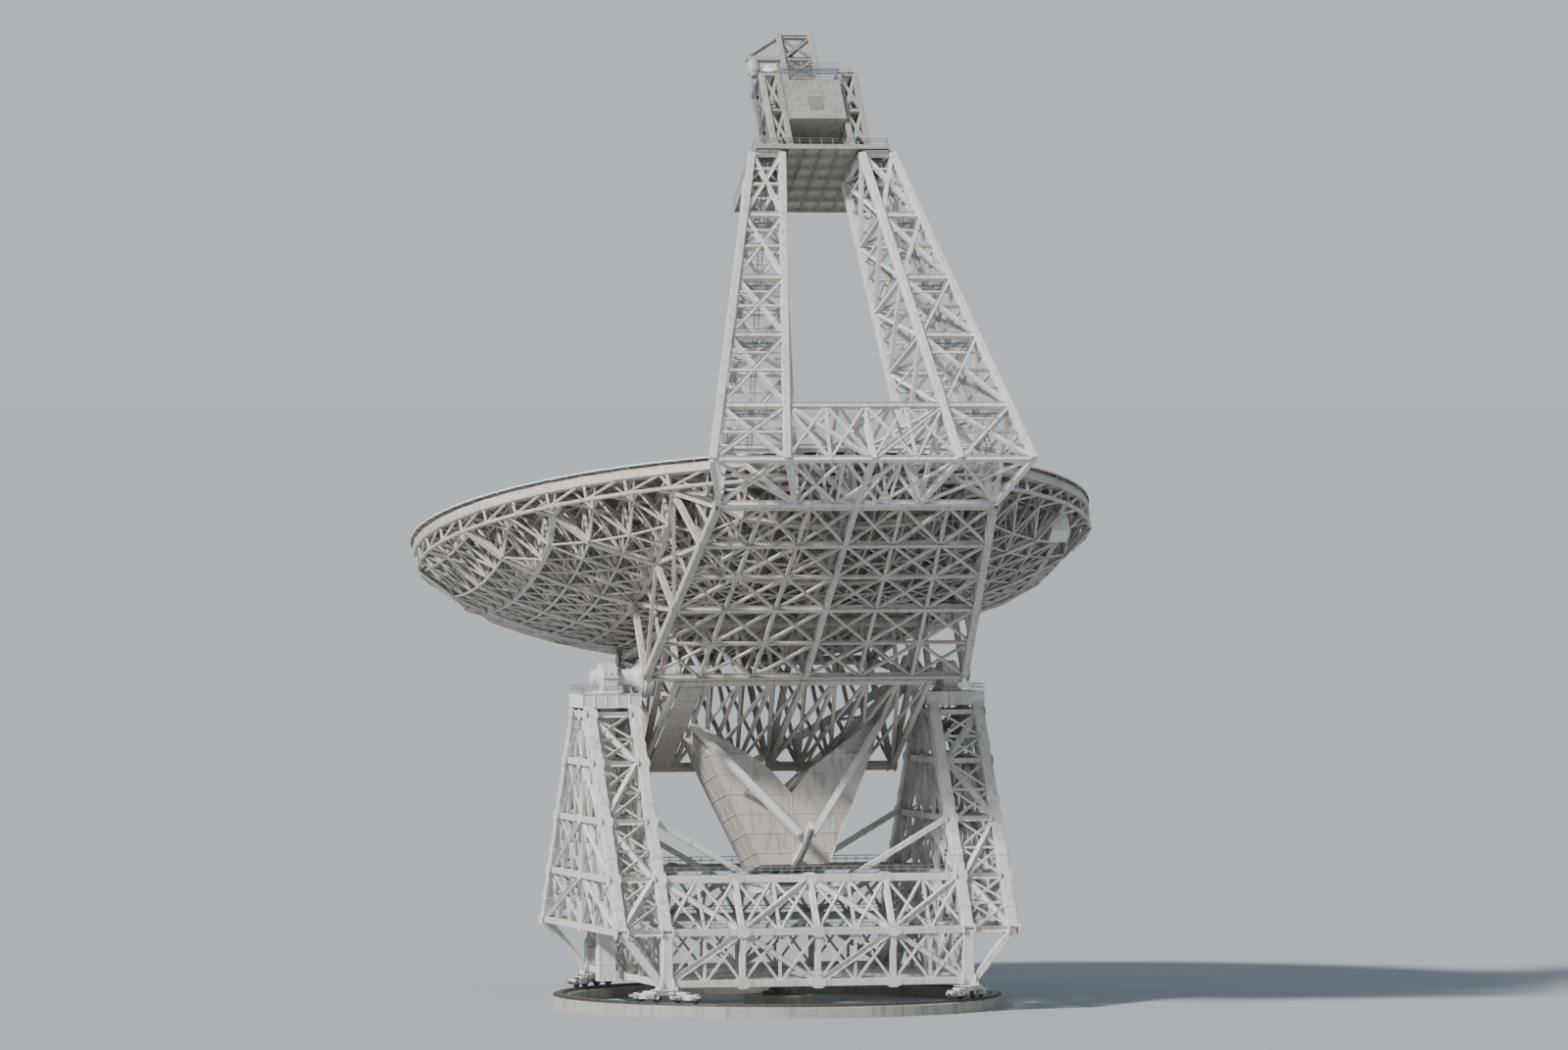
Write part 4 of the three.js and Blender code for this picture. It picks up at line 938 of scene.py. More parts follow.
def bottom_chord(x, h):
    """Height of the lower chords, where the backup structure is deepest in the middle of the dish."""
    outwards = math.hypot(x, h)
    if outwards > GRID_LIMIT:
        return top_chord(x, h) - RIM_DROP
    return surface(x, h) - BACKUP_DEPTH * (1 - BACKUP_TAPER * (outwards / DISH_RADIUS) ** 4)


def rib_chord(x, h):
    """Lower chord of the cross ribs over the axle box, which runs straight from rib to rib."""
    middle, outer_rib = bottom_chord(0, h), bottom_chord(MAIN_X[3], h)
    return middle + (outer_rib - middle) * abs(x) / MAIN_X[3]


hub = turned([(0, 1.6), (2.75, 1.6), (2.75, 1.3), (3, 1.2), (3, 0), (0, 0)], steps=36)
journal = turned([
    (0, JOURNAL_LENGTH), (0.95, JOURNAL_LENGTH), (1.1, JOURNAL_LENGTH - 0.12),
    (JOURNAL_RADIUS, JOURNAL_LENGTH - 0.3), (JOURNAL_RADIUS, 3), (1.6, 2.2), (2.3, 1.6), (0, 1.6),
], steps=36)
axle = []
for side in (-1, 1):
    out = at(side * (HUB_X + GAP), 0, 0) @ sized(side, 1, 1) @ about_y
    add_shape(axle, hub, out)
    add_shape(axle, journal, out)
    add_bolt_ring(axle, 24, 2.5, 1.68, 0.24, 0.18, out)
    add_bolt_ring(axle, 8, 0.7, JOURNAL_LENGTH + 0.04, 0.2, 0.1, out)
finish_piece("elevation_journals_and_hubs", axle, white_paint, "tipping_structure",
             ["elevation_journal_left", "elevation_journal_right"])

# The corners of the box, as (h, height over the axle)
seat = BRACE / 2 + CHORD / 2 - 0.06
LOW_REAR, LOW_FRONT = (-12, -9), (12.5, -7.5)
TOP_FRONT, TOP_REAR = (14, rib_chord(0, 14) - seat), (-14, rib_chord(0, -14) - seat)
BOX_SIDES = ((LOW_REAR, TOP_REAR), (LOW_FRONT, TOP_FRONT), (LOW_REAR, LOW_FRONT), (TOP_REAR, TOP_FRONT))
box = []
for corner in (LOW_REAR, LOW_FRONT, TOP_FRONT, TOP_REAR):
    add_member(box, box_bar, (-BOX_END, *corner), (BOX_END, *corner), CHORD, reach=0.4)
for i in range(BOX_BAYS + 1):
    x = -BOX_END + BOX_BAY * i
    main_frame = i % (BOX_BAYS // 2) == 0
    shape, size = (flanged, BRACE) if main_frame else (channel, BOX_LACING)
    for low, high in BOX_SIDES:
        add_member(box, shape, (x, *low), (x, *high), size)
        if i < BOX_BAYS:
            start, end = (low, high) if i % 2 else (high, low)
            add_member(box, channel, (x, *start), (x + BOX_BAY, *end), BOX_LACING)
            lace(box, (x, *low), (x + BOX_BAY, *low), (x, *high), (x + BOX_BAY, *high))
    if main_frame:
        add_member(box, flanged, (x, *LOW_REAR), (x, *TOP_FRONT), size)
        add_member(box, flanged, (x, *LOW_FRONT), (x, *TOP_REAR), size)
        for corner in (LOW_REAR, LOW_FRONT, TOP_FRONT, TOP_REAR):
            add_gusset(box, (x, *corner), GUSSET, CHORD)
for x in (-BOX_END, BOX_END):
    for high in (TOP_FRONT, TOP_REAR):
        add_member(box, flanged, (x, *high), (x, high[0], rib_chord(x, high[0]) - BRACE / 2), BRACE)
# A clad bay closes the left end of the floor of the box
sheet_slope = math.degrees(math.atan2(LOW_FRONT[1] - LOW_REAR[1], LOW_FRONT[0] - LOW_REAR[0]))
half_length = math.dist(LOW_REAR, LOW_FRONT) / 2 - 0.6
cladding = panelled_block((-1.7, -half_length, -0.1), (1.7, half_length, 0.1), (1, 9, 1), 0.1, 0.06,
                          lambda face: abs(face.normal.z) > 0.9)
middle = between(LOW_REAR, LOW_FRONT, 0.5)
add_shape(box, cladding, at(-16.8, middle[0], middle[1] - 0.62) @ about("X", sheet_slope))
# The steel under the dish is browner and darker than the towers: grime, as rain never washes it, and painted
# shade for the shade the dish casts on it
grimed_and_shaded_paint = weathered_paint("grimed_and_shaded_white_alkyd_on_steel", "#D3CBC3", "#ACA299", "#75695E", 0.6)
finish_piece("axle_box_lattice", box, grimed_and_shaded_paint, "tipping_structure",
             ["axle_box_rear_side", "axle_box_front_side", "axle_box_frame_left", "axle_box_frame_middle",
              "axle_box_frame_right"])

# Elevation wheel. Its rim is a rolled box girder in segments, with a cut gear rack along its outside. Two
# fans of box spokes run from the ends of the axle to the rim, tied by rings and by bracing between them.
RIM_DEPTH = 1.5
RIM_HALF_WIDTH = 0.5
RIM_START, RIM_ANGLE = -6, 107
RIM_STIFFENERS = 54
SPOKE_ANGLES = (0, 25, 50, 75, 95)
SPOKE = 1
SPOKE_INNER, SPOKE_OUTER = 1.6, 27.9
SPOKE_ROOT_X = 20
BALLAST_SPOKE = 25
RING_RADII = (8, 13.5, 19, 24)
STIFF_RING = 19
TEETH = 132
TOOTH_HEIGHT = 0.3


def on_fan(side, r, degrees):
    """A point on the left or right fan, at a distance from the axle and an angle from straight down."""
    angle = math.radians(degrees)
    return (side * SPOKE_ROOT_X * (1 - r / RIM_RADIUS), r * math.sin(angle), -r * math.cos(angle))


# The rim is spun about Z, then laid with its axis along X and its start just behind straight down
lay_rim = about("X", RIM_START) @ about_y
low, high = RIM_RADIUS - RIM_DEPTH, RIM_RADIUS - TOOTH_HEIGHT
half_rim = [(low, RIM_HALF_WIDTH), (low + 0.15, RIM_HALF_WIDTH), (low + 0.15, 0.3), (high - 0.25, 0.3),
            (high - 0.25, RIM_HALF_WIDTH), (high, RIM_HALF_WIDTH)]
whole_rim = half_rim + [(r, -z) for r, z in reversed(half_rim)]
rim, rack = [], []
add_shape(rim, turned(whole_rim, steps=80, angle=RIM_ANGLE), lay_rim)
tooth = block((TOOTH_HEIGHT + 0.1, 0.24, 2 * RIM_HALF_WIDTH - 0.16),
              (RIM_RADIUS - TOOTH_HEIGHT / 2 - 0.05, 0, 0))
pick("faces", lambda face: face.normal.x > 0.9)
bpy.ops.transform.resize(value=(1, 0.5, 1))
tooth = done(tooth)
stiffener = plate_work((RIM_DEPTH - TOOTH_HEIGHT - 0.3, 0.08, 2 * RIM_HALF_WIDTH - 0.04),
                       ((low + high) / 2 - 0.05, 0, 0), 0.02)
for parts, shape, count in ((rack, tooth, TEETH), (rim, stiffener, RIM_STIFFENERS)):
    for i in range(count):
        add_shape(parts, shape, lay_rim @ about("Z", (i + 0.5) * RIM_ANGLE / count))
finish_piece("elevation_wheel_rim_girder", rim, white_paint, "tipping_structure", ["elevation_wheel_rim"])
finish_piece("elevation_gear_rack", rack, enamel, "tipping_structure", smooth=0)

for name, side in (("left", -1), ("right", 1)):
    fan = []
    for angle in SPOKE_ANGLES:
        add_member(fan, box_bar, on_fan(side, SPOKE_INNER, angle), on_fan(side, SPOKE_OUTER, angle), SPOKE)
    for first, second in zip(SPOKE_ANGLES, SPOKE_ANGLES[1:]):
        beside_ballast = BALLAST_SPOKE in (first, second)
        for i, r in enumerate(RING_RADII):
            # Only every other ring passes the ballast
            if i % 2 == 0 or not beside_ballast:
                size = 0.64 if r == STIFF_RING else HEAVY_LACING
                add_member(fan, channel, on_fan(side, r, first), on_fan(side, r, second), size)
            if i and not beside_ballast:
                a, b = (first, second) if i % 2 else (second, first)
                add_member(fan, channel, on_fan(side, RING_RADII[i - 1], a), on_fan(side, r, b), LACING)
        if not beside_ballast:
            middle = on_fan(side, SPOKE_OUTER - 0.1, (first + second) / 2)
            for angle in (first, second):
                add_member(fan, channel, on_fan(side, RING_RADII[-1], angle), middle, LACING)
    finish_piece("elevation_wheel_fan_" + name, fan, white_paint, "tipping_structure",
                 ["elevation_wheel_spokes_" + name])

# Ballast boxes. Two boxes of stiffened plate hang between the middle spokes, full of concrete, and meet in
# the plane of the wheel as a V. Their plates are butt welded in strakes between the stiffeners.
BALLAST_OUTLINE = ((15.5, 5.5), (5.2, 28.5), (GAP, 28.5), (GAP, 18), (3, 14.5))
BALLAST_NARROW = 12.3
BALLAST_HALF_DEPTH = 4.5
BALLAST_TIP_HALF_DEPTH = 1.5
BALLAST_TIP = 5.5
STRAKE = 2.9

for name, side in (("left", -1), ("right", 1)):
    mesh = bpy.data.meshes.new("ballast")
    outline = [(side * x, -BALLAST_HALF_DEPTH, -r) for x, r in BALLAST_OUTLINE]
    mesh.from_pydata(outline, [], [tuple(range(len(outline)))])
    ballast = edit(new_object("ballast", mesh))
    pick_all()
    bpy.ops.mesh.extrude_region_move(TRANSFORM_OT_translate={"value": (0, 2 * BALLAST_HALF_DEPTH, 0)})
    cuts = [((0, 0, -BALLAST_NARROW - STRAKE * i), (0, 0, 1)) for i in range(6)]
    cuts += [((0, y, 0), (0, 1, 0)) for y in (-1.5, 1.5)]
    cuts += [((side * x, 0, 0), (1, 0, side * 0.42)) for x in (8, 10.4)]
    for place, normal in cuts:
        pick_all()
        bpy.ops.mesh.bisect(plane_co=place, plane_no=normal)
    shape = bmesh.from_edit_mesh(mesh)
    for corner in shape.verts:
        part = max(0, (BALLAST_NARROW + corner.co.z) / (BALLAST_NARROW - BALLAST_TIP))
        corner.co.y *= 1 + (BALLAST_TIP_HALF_DEPTH / BALLAST_HALF_DEPTH - 1) * part
    bmesh.update_edit_mesh(mesh)
    pick_all()
    bpy.ops.mesh.normals_make_consistent(inside=False)
    pick("faces", lambda face: abs(face.calc_center_median().x) > 0.05)
    bpy.ops.mesh.inset(thickness=0.16, depth=-0.09, use_individual=True)
    boxes = []
    add_shape(boxes, done(ballast), about("X", BALLAST_SPOKE))
    finish_piece("ballast_box_plates_" + name, boxes, grimed_and_shaded_paint, "tipping_structure",
                 ["ballast_box_" + name], smooth=0)

# Backup structure. A deep space frame of rolled tube and section carries the dish: main ribs every third
# or fifth line, lighter ribs between, and screw jacks on the joints, which the panels rest on.
RIM_GIRDER_RADIUS = 49.3
RIM_GIRDER = 1.4
RIM_STEPS = 48
MAIN_H = (-42, -28, -14, 0, 14, 28, 42)
HALF_X = (4.8, 9.6, 14.4, 19.2, 24, 28.7, 33.4, 38, 42.5, 46.5)
HALF_H = (4.7, 9.3, 14, 18.7, 23.3, 28, 32.7, 37.3, 42, 46.4)
FINE_X = (*[-x for x in reversed(HALF_X)], 0, *HALF_X)
FINE_H = (*[-h for h in reversed(HALF_H)], 0, *HALF_H)
WING_SPLIT = 30
CENTRE_SPLIT = 7
SMALL_TUBE = 0.34
LIGHT_TUBE = 0.45
POST = BRACE * 0.8

zones = {"left_wing": [], "right_wing": [], "front": [], "rear": []}


def zone_of(x, h):
    """The part of the backup structure that a member belongs to, by its middle."""
    if abs(x) > WING_SPLIT:
        return zones["left_wing" if x < 0 else "right_wing"]
    return zones["front" if h > CENTRE_SPLIT else "rear"]


def frame_member(shape, start, end, width, depth=0):
    add_member(zone_of((start[0] + end[0]) / 2, (start[1] + end[1]) / 2), shape, start, end, width, depth)


def top(x, h):
    return (x, h, top_chord(x, h))


def bottom(x, h):
    return (x, h, bottom_chord(x, h))


def rim_end(value):
    return math.sqrt(RIM_GIRDER_RADIUS ** 2 - value ** 2)


def fine_rib(values, place, reach, main):
    """One rib, through those joints that lie within the rim, braced by diagonals that fall to its middle."""
    shape, size, light = (flanged, BRACE, LIGHT_TUBE) if main else (pipe, LIGHT_TUBE, SMALL_TUBE)
    joints = [place(value) for value in (-reach, *[v for v in values if abs(v) < reach - 1.5], reach)]
    for here, after in zip(joints, joints[1:]):
        frame_member(shape, top(*here), top(*after), size)
        frame_member(shape, bottom(*here), bottom(*after), size)
        falling, rising = (top(*here), bottom(*after)), (bottom(*here), top(*after))
        if math.hypot(*after) > math.hypot(*here):
            falling, rising = rising, falling
        frame_member(pipe, *falling, light)
        if main:
            frame_member(pipe, *rising, SMALL_TUBE)


for x in FINE_X:
    fine_rib(FINE_H, lambda h: (x, h), rim_end(x), x in MAIN_X)
for h in FINE_H:
    fine_rib(FINE_X, lambda x: (x, h), rim_end(h), h in MAIN_H)
screw_jack = turned([(0, 1), (0.5, 1), (0.5, 0.86), (0.22, 0.84), (0.22, 0.3), (0.34, 0.26), (0.34, 0),
                     (0, 0)], steps=8)
for x, next_x in zip(FINE_X, (*FINE_X[1:], DISH_RADIUS)):
    for h, next_h in zip(FINE_H, (*FINE_H[1:], DISH_RADIUS)):
        if math.hypot(x, h) > RIM_GIRDER_RADIUS - 1.2:
            continue
        frame_member(pipe, bottom(x, h), top(x, h), POST if x in MAIN_X or h in MAIN_H else LIGHT_TUBE)
        add_shape(zone_of(x, h), screw_jack, at(*top(x, h)) @ sized(0.7, 0.7, PANEL_STANDOFF))
        if max(math.hypot(next_x, next_h), math.hypot(next_x, h)) < RIM_GIRDER_RADIUS - 1:
            frame_member(pipe, bottom(x, h), bottom(next_x, next_h), SMALL_TUBE)
            frame_member(pipe, top(x, h), top(next_x, next_h), SMALL_TUBE)
            frame_member(pipe, bottom(next_x, h), bottom(x, next_h), SMALL_TUBE)
rim_points = []
for i in range(RIM_STEPS + 1):
    angle = 2 * math.pi * i / RIM_STEPS
    rim_points.append(top(RIM_GIRDER_RADIUS * math.cos(angle), RIM_GIRDER_RADIUS * math.sin(angle)))
for start, end in zip(rim_points, rim_points[1:]):
    low_start, low_end = raised(start, -RIM_DROP), raised(end, -RIM_DROP)
    frame_member(box_bar, start, end, RIM_GIRDER * 0.7, RIM_GIRDER)
    frame_member(box_bar, raised(start, 0.88), raised(end, 0.88), 0.16, 0.5)
    frame_member(pipe, low_start, low_end, POST)
    frame_member(pipe, low_start, start, LIGHT_TUBE)
    frame_member(pipe, low_start, end, LIGHT_TUBE)
for name, parts in zones.items():
    finish_piece("backup_space_frame_" + name, parts, grimed_and_shaded_paint, "tipping_structure",
                 ["backup_structure_" + name], smooth=40)

# Reflector. Some 1,400 pans of pressed aluminium sheet with riveted edge frames lie in rings about the
# vertex of the paraboloid, which is outside the dish. They are painted matt white, and primed grey below,
# darkened there by painted shade.
SHEET_RINGS = 42
SHEET_START = 3.6
SHEET_PITCH = 2.42
SHEET_WIDTH = 2.5
SEAM = 0.035
PAN_DEPTH = 0.22
LIP = 0.86
RIM_CUTS = 96
ALL_SECTORS = ["reflector_sector_%d" % (i + 1) for i in range(8)]

# Matt white paint on aluminium sheet: clean and even, with a slightly different white on each pan
pan_paint = coat("matt_white_paint_on_aluminium", ("#F1F1EE", "#D5D4CF"), {"Scale": 0.9, "Detail": 6},
                 (0.5, 0.7), 0.4, skin=({"Scale": 9, "Detail": 2}, 0.1, 0.004))
# Grey-brown primer under the pans, darkened as painted shade for the shade under the dish, with dust and the
# marks of rain that has run along the ribs
dust = {"Scale": 2.4, "Detail": 8, "Roughness": 0.65}
primer_and_shade_under_pans = coat("weathered_primer_and_painted_shade_under_pans", ("#A89C92", "#786C63"), dust, (0.6, 0.85), 0.5,
                  skin=(dust, 0.2, 0.004))

mesh = bpy.data.meshes.new("pans")
corners, faces = [], []
for ring in range(SHEET_RINGS):
    low, high = SHEET_START + ring * SHEET_PITCH, SHEET_START + (ring + 1) * SHEET_PITCH
    half_angle = math.asin(min(1, (DISH_RADIUS + 3) / low))
    count = 2 * max(1, round(half_angle * (low + high) / 2 / SHEET_WIDTH))
    angles = [math.pi / 2 - half_angle + 2 * half_angle * i / count for i in range(count + 1)]
    for first, second in zip(angles, angles[1:]):
        pan = [(r * math.cos(angle), VERTEX_H + r * math.sin(angle), 0)
               for r, angle in ((low, first), (high, first), (high, second), (low, second))]
        if min(math.hypot(x, h) for x, h, _ in pan) < DISH_RADIUS:
            faces.append(tuple(range(len(corners), len(corners) + 4)))
        corners.extend(pan)
mesh.from_pydata(corners, [], faces)
pans = edit(new_object("pans", mesh))
pick_all()
bpy.ops.mesh.delete_loose()
for i in range(RIM_CUTS):
    angle = 2 * math.pi * (i + 0.5) / RIM_CUTS
    normal = Vector((math.cos(angle), math.sin(angle), 0))
    pick_all()
    bpy.ops.mesh.bisect(plane_co=normal * DISH_RADIUS, plane_no=normal, clear_outer=True)
pick_all()
bpy.ops.mesh.normals_make_consistent(inside=False)
bpy.ops.mesh.inset(thickness=SEAM, use_individual=True)
shape = bmesh.from_edit_mesh(mesh)
bmesh.ops.delete(shape, geom=[face for face in shape.faces if not face.select], context="FACES")
bmesh.update_edit_mesh(mesh)
corners, faces = done(pans)

reflector, underside = [], []
for face in faces:
    outline = [corners[i][:2] for i in face]
    area = sum(a[0] * b[1] - a[1] * b[0] for a, b in zip(outline, outline[1:] + outline[:1])) / 2
    if abs(area) < 0.05:
        continue
    if area < 0:
        outline.reverse()
    count = len(outline)
    inner = [between(sum(outline) / count, corner, LIP) for corner in outline]
    face_up, edge, lip, pan = [[(x, h, surface(x, h) - drop) for x, h in row] for row, drop in (
        (outline, 0), (outline, PAN_DEPTH), (inner, PAN_DEPTH), (inner, 0.06))]
    after = [*range(1, count), 0]
    add_shape(reflector, (np.array(face_up + edge), [tuple(range(count))] + [
        (i, i + count, after[i] + count, after[i]) for i in range(count)]))
    add_shape(underside, (np.array(edge + lip + pan), [
        (i + j, i + j + count, after[i] + j + count, after[i] + j) for j in (0, count) for i in range(count)
    ] + [tuple(range(3 * count - 1, 2 * count - 1, -1))]))
surface_piece = finish_piece("reflector_pans", reflector + underside, pan_paint, "tipping_structure",
                             ["reflector_middle"] + ALL_SECTORS, 0)
# The undersides of the pans take the darker primer, which carries painted shade
surface_piece.data.materials.append(primer_and_shade_under_pans)
first_below = sum(len(shape_faces) for _, shape_faces, _ in reflector)
for face in surface_piece.data.polygons[first_below:]:
    face.material_index = 1

# Instrument hut. A small sheet metal hut sits in the frame of the right wing. It takes the clean white of the
# pans, brighter than the steel round it, as a painted highlight for the sun on its face, and shows as the
# brightest spot on the back of the dish.
hut = []
add_shape(hut, panelled_block((36.8, -27, 7), (39.6, -24, 10.3), (2, 2, 1), 0.12, 0.08, on_side))
finish_piece("instrument_hut", hut, pan_paint, "tipping_structure", smooth=0)

# Feed arm. The horizontal arm is a deep truss under the near half of the dish. Its floor lies flat between
# two box edges, and posts and diagonals go up from the edges to the ribs.
ARM_ROOT = (24, -13.1, -9)
ARM_TIP = (20.5, -51 + BRACE + GAP, -5)
ARM_STATIONS = (ARM_ROOT[1], -28, -42, ARM_TIP[1])
ARM_ROWS = (ARM_ROOT[1], -20.5, -28, -35, -42, ARM_TIP[1])
FLOOR_BAYS = 3


def arm_edge(h):
    """A point on the right edge of the floor."""
    return between(ARM_ROOT, ARM_TIP, (h - ARM_ROOT[1]) / (ARM_TIP[1] - ARM_ROOT[1]))


def mirrored(side, point):
    """A point on the right or left side, or at a share of the way out to it."""
    return (side * point[0], point[1], point[2])


floor_parts = []
for i, h in enumerate(ARM_ROWS):
    edge = arm_edge(h)
    shape, size = (flanged, BRACE) if h in ARM_STATIONS else (channel, HEAVY_LACING)
    add_member(floor_parts, shape, mirrored(-1, edge), edge, size)
    if h == ARM_ROWS[-1]:
        break
    next_edge = arm_edge(ARM_ROWS[i + 1])
    add_member(floor_parts, flanged, mirrored(0, edge), mirrored(0, next_edge), BRACE)
    for side in (-1, 1):
        for j in range(FLOOR_BAYS):
            a, next_a = [mirrored(side * j / FLOOR_BAYS, point) for point in (edge, next_edge)]
            b, next_b = [mirrored(side * (j + 1) / FLOOR_BAYS, point) for point in (edge, next_edge)]
            lace(floor_parts, a, next_a, b, next_b)
            if j:
                add_member(floor_parts, channel, a, next_a, HEAVY_LACING)
finish_piece("feed_arm_floor_truss", floor_parts, grimed_and_shaded_paint, "tipping_structure", ["feed_arm_floor"])

arm_rails = []
path = [mirrored(0, between(ARM_ROOT, ARM_TIP, part)) for part in (0.02, 0.97)]
add_walkway(arm_rails, *[raised(point, BRACE / 2 + 0.1) for point in path])
finish_piece("feed_arm_walkway", arm_rails, galvanised_steel, "tipping_structure")

# The last post meets its rib within the last bay
x = MAIN_X[3]
rim_h = -rim_end(x)
part = (ARM_STATIONS[2] - ARM_STATIONS[1]) / (rim_h - ARM_STATIONS[1])
rib_joints = [bottom(x, -14), bottom(x, -28), between(bottom(x, -28), bottom(x, rim_h), part)]
for name, side in (("left", -1), ("right", 1)):
    wall = []
    feet = [mirrored(side, arm_edge(h)) for h in ARM_STATIONS]
    heads = [mirrored(side, joint) for joint in rib_joints]
    add_member(wall, box_bar, feet[0], feet[-1], CHORD)
    for i, foot in enumerate(feet):
        if i < len(heads):
            add_member(wall, flanged, foot, heads[i], BRACE)
        if i:
            middle = between(foot, heads[i - 1], 0.5)
            add_member(wall, flanged, foot, heads[i - 1], POST)
            add_member(wall, channel, middle, between(foot, feet[i - 1], 0.5), LACING)
            if i < len(heads):
                add_member(wall, channel, feet[i - 1], heads[i], HEAVY_LACING)
                add_member(wall, channel, middle, between(heads[i - 1], heads[i], 0.5), LACING)
        add_gusset(wall, foot, GUSSET, CHORD)
    finish_piece("feed_arm_side_truss_" + name, wall, grimed_and_shaded_paint, "tipping_structure",
                 ["feed_arm_side_" + name])

# Feed legs. Two tapering four-sided trusses of box corners stand on the end of the arm, beside the dish,
# cross braced on every face. A frame ties their feet together.
LEG_LEVELS = (-5, 4, 15.9, 25.7, 36.4, 47)
FOOT_CORNERS = ((23.7, -62), (12.8, -62), (9.2, -51), (20.5, -51))
HEAD_CORNERS = ((10.5, -65), (6, -65), (5, -58), (9.8, -58))


def leg_corner(side, index, level):
    part = (level - LEG_LEVELS[0]) / (LEG_LEVELS[-1] - LEG_LEVELS[0])
    x, h = between(FOOT_CORNERS[index % 4], HEAD_CORNERS[index % 4], part)
    return (side * x, h, level)


def moved(point, x, h, v=0):
    return (point[0] + x, point[1] + h, point[2] + v)


ladders = []
for name, side in (("left", -1), ("right", 1)):
    leg = []
    # The corners at each level, with the first once more at the end
    rings = [[leg_corner(side, i, level) for i in range(5)] for level in LEG_LEVELS]
    for low, high in zip(rings, rings[1:]):
        foot, head = [moved(between(ring[0], ring[1], 0.5), 0, 0.9) for ring in (low, high)]
        add_ladder(ladders, foot, head, (1, 0, 0))
        add_walkway(ladders, moved(high[1], side * 0.6, 2, -0.3), moved(high[0], -side * 0.6, 2, -0.3))
    for i in range(4):
        add_member(leg, box_bar, rings[0][i], rings[-1][i], CHORD)
        for low, high in zip(rings, rings[1:]):
            a, b, c, d = low[i], low[i + 1], high[i], high[i + 1]
            lace(leg, a, c, b, d, width=BRACE * 0.75, shape=flanged)
            add_member(leg, channel, between(a, c, 0.5), between(b, d, 0.5), LACING)
            for part in (0.25, 0.75):
                add_member(leg, channel, between(a, c, part), between(a, d, part), LACING * 0.8)
                add_member(leg, channel, between(b, d, part), between(b, c, part), LACING * 0.8)
        for ring in rings:
            add_member(leg, flanged, ring[i], ring[i + 1], BRACE)
    for ring in rings:
        lace(leg, ring[0], ring[3], ring[1], ring[2])
    finish_piece("feed_leg_truss_" + name, leg, white_paint, "tipping_structure", ["feed_leg_" + name])

finish_piece("feed_leg_ladders", ladders, galvanised_steel, "tipping_structure")

end_frame = []
low, high = LEG_LEVELS[:2]
for index in (1, 2):
    h = FOOT_CORNERS[index][1]
    left, right = leg_corner(-1, index, low), leg_corner(1, index, low)
    high_left, high_right = leg_corner(-1, index, high), leg_corner(1, index, high)
    foot, head = (0, h, low), (0, h, high)
    for start, end, size in ((left, right, BRACE), (high_left, high_right, BRACE), (foot, head, BRACE),
                             (high_left, foot, POST), (high_right, foot, POST)):
        add_member(end_frame, flanged, start, end, size)
    lace(end_frame, left, right, high_left, high_right, 4)
for level in (low, high):
    add_member(end_frame, flanged, (0, FOOT_CORNERS[1][1], level), (0, FOOT_CORNERS[2][1], level), BRACE)
    lace(end_frame, leg_corner(-1, 1, level), leg_corner(1, 1, level), leg_corner(-1, 2, level),
         leg_corner(1, 2, level), 3)
finish_piece("feed_arm_end_truss", end_frame, white_paint, "tipping_structure", ["feed_arm_end_frame"])

# Feed head. A plated deck on the two legs carries columns, the receiver room with its feed horns, and the
# rear cabin, all clad with painted sheet on steel frames, with handrails round every roof.
DECK_LOW, DECK_HIGH = 47.2, 48
ROOM_HALF_WIDTH = 4.18
ROOM_ROOF = 54
CABIN_FLOOR, CABIN_ROOF = 52.3, 59.3
CABIN_REAR = -66.5
COLUMN_CORNERS = ((4.6, -65.4), (7, -65.4), (7, -59.6), (4.6, -59.6))
COLUMN_TOP = 61
RING_LEVELS = (54.5, COLUMN_TOP)
ON_STEEL = 0.36  # height of a walkway over the middle of the members that carry it

# Paint on the cabins: greyer and browner than the steel, as painted shade for the feed head, which stands in
# shade, with heavy streaks under the seams
cabin_paint_and_shade = weathered_paint("white_paint_and_painted_shade_on_sheet", "#BBB5AD", "#958E85", "#5F564D", 0.6)
deck, rails = [], []
add_shape(deck, panelled_block((-10, -66, DECK_LOW), (10, -50.5, DECK_HIGH), (8, 6, 1), 0.22, 0.55,
                               lambda face: face.normal.z < -0.9))
for side in (-1, 1):
    for (x, h), (next_x, next_h) in zip(COLUMN_CORNERS, COLUMN_CORNERS[1:] + COLUMN_CORNERS[:1]):
        x, next_x = side * x, side * next_x
        add_member(deck, box_bar, (x, h, DECK_HIGH), (x, h, COLUMN_TOP), BRACE)
        for level in RING_LEVELS:
            add_member(deck, flanged, (x, h, level), (next_x, next_h, level), POST)
        for low, high in ((DECK_HIGH, RING_LEVELS[0]), RING_LEVELS):
            lace(deck, (x, h, low), (x, h, high), (next_x, next_h, low), (next_x, next_h, high))
add_guard(rails, -9.9, -65.9, 9.9, -50.6, DECK_HIGH)
add_guard(rails, -4.1, -60.1, 4.1, -51.1, ROOM_ROOF)
for side in (-1, 1):
    for level in RING_LEVELS:
        add_walkway(rails, (side * 5.8, -65.2, level + ON_STEEL), (side * 5.8, -59.8, level + ON_STEEL), 1.8)
    add_ladder(rails, (side * 7.6, -62.5, DECK_HIGH), (side * 7.6, -62.5, COLUMN_TOP + 1), (0, 1, 0))
    # Two pipes along each side of the deck
    for x in (side * 8.4, side * 8.8):
        add_member(rails, pipe, (x, -64, DECK_HIGH + 0.4), (x, -52, DECK_HIGH + 0.4), 0.3)
add_walkway(rails, (-4.6, -65.8, COLUMN_TOP + ON_STEEL), (4.6, -65.8, COLUMN_TOP + ON_STEEL), 1.2)
add_guard(rails, -4.1, -66.4, 4.1, -60.3, CABIN_ROOF)
finish_piece("feed_head_deck_and_columns", deck, cabin_paint_and_shade, "tipping_structure", ["feed_head_deck"])
finish_piece("feed_head_handrails", rails, galvanised_steel, "tipping_structure")

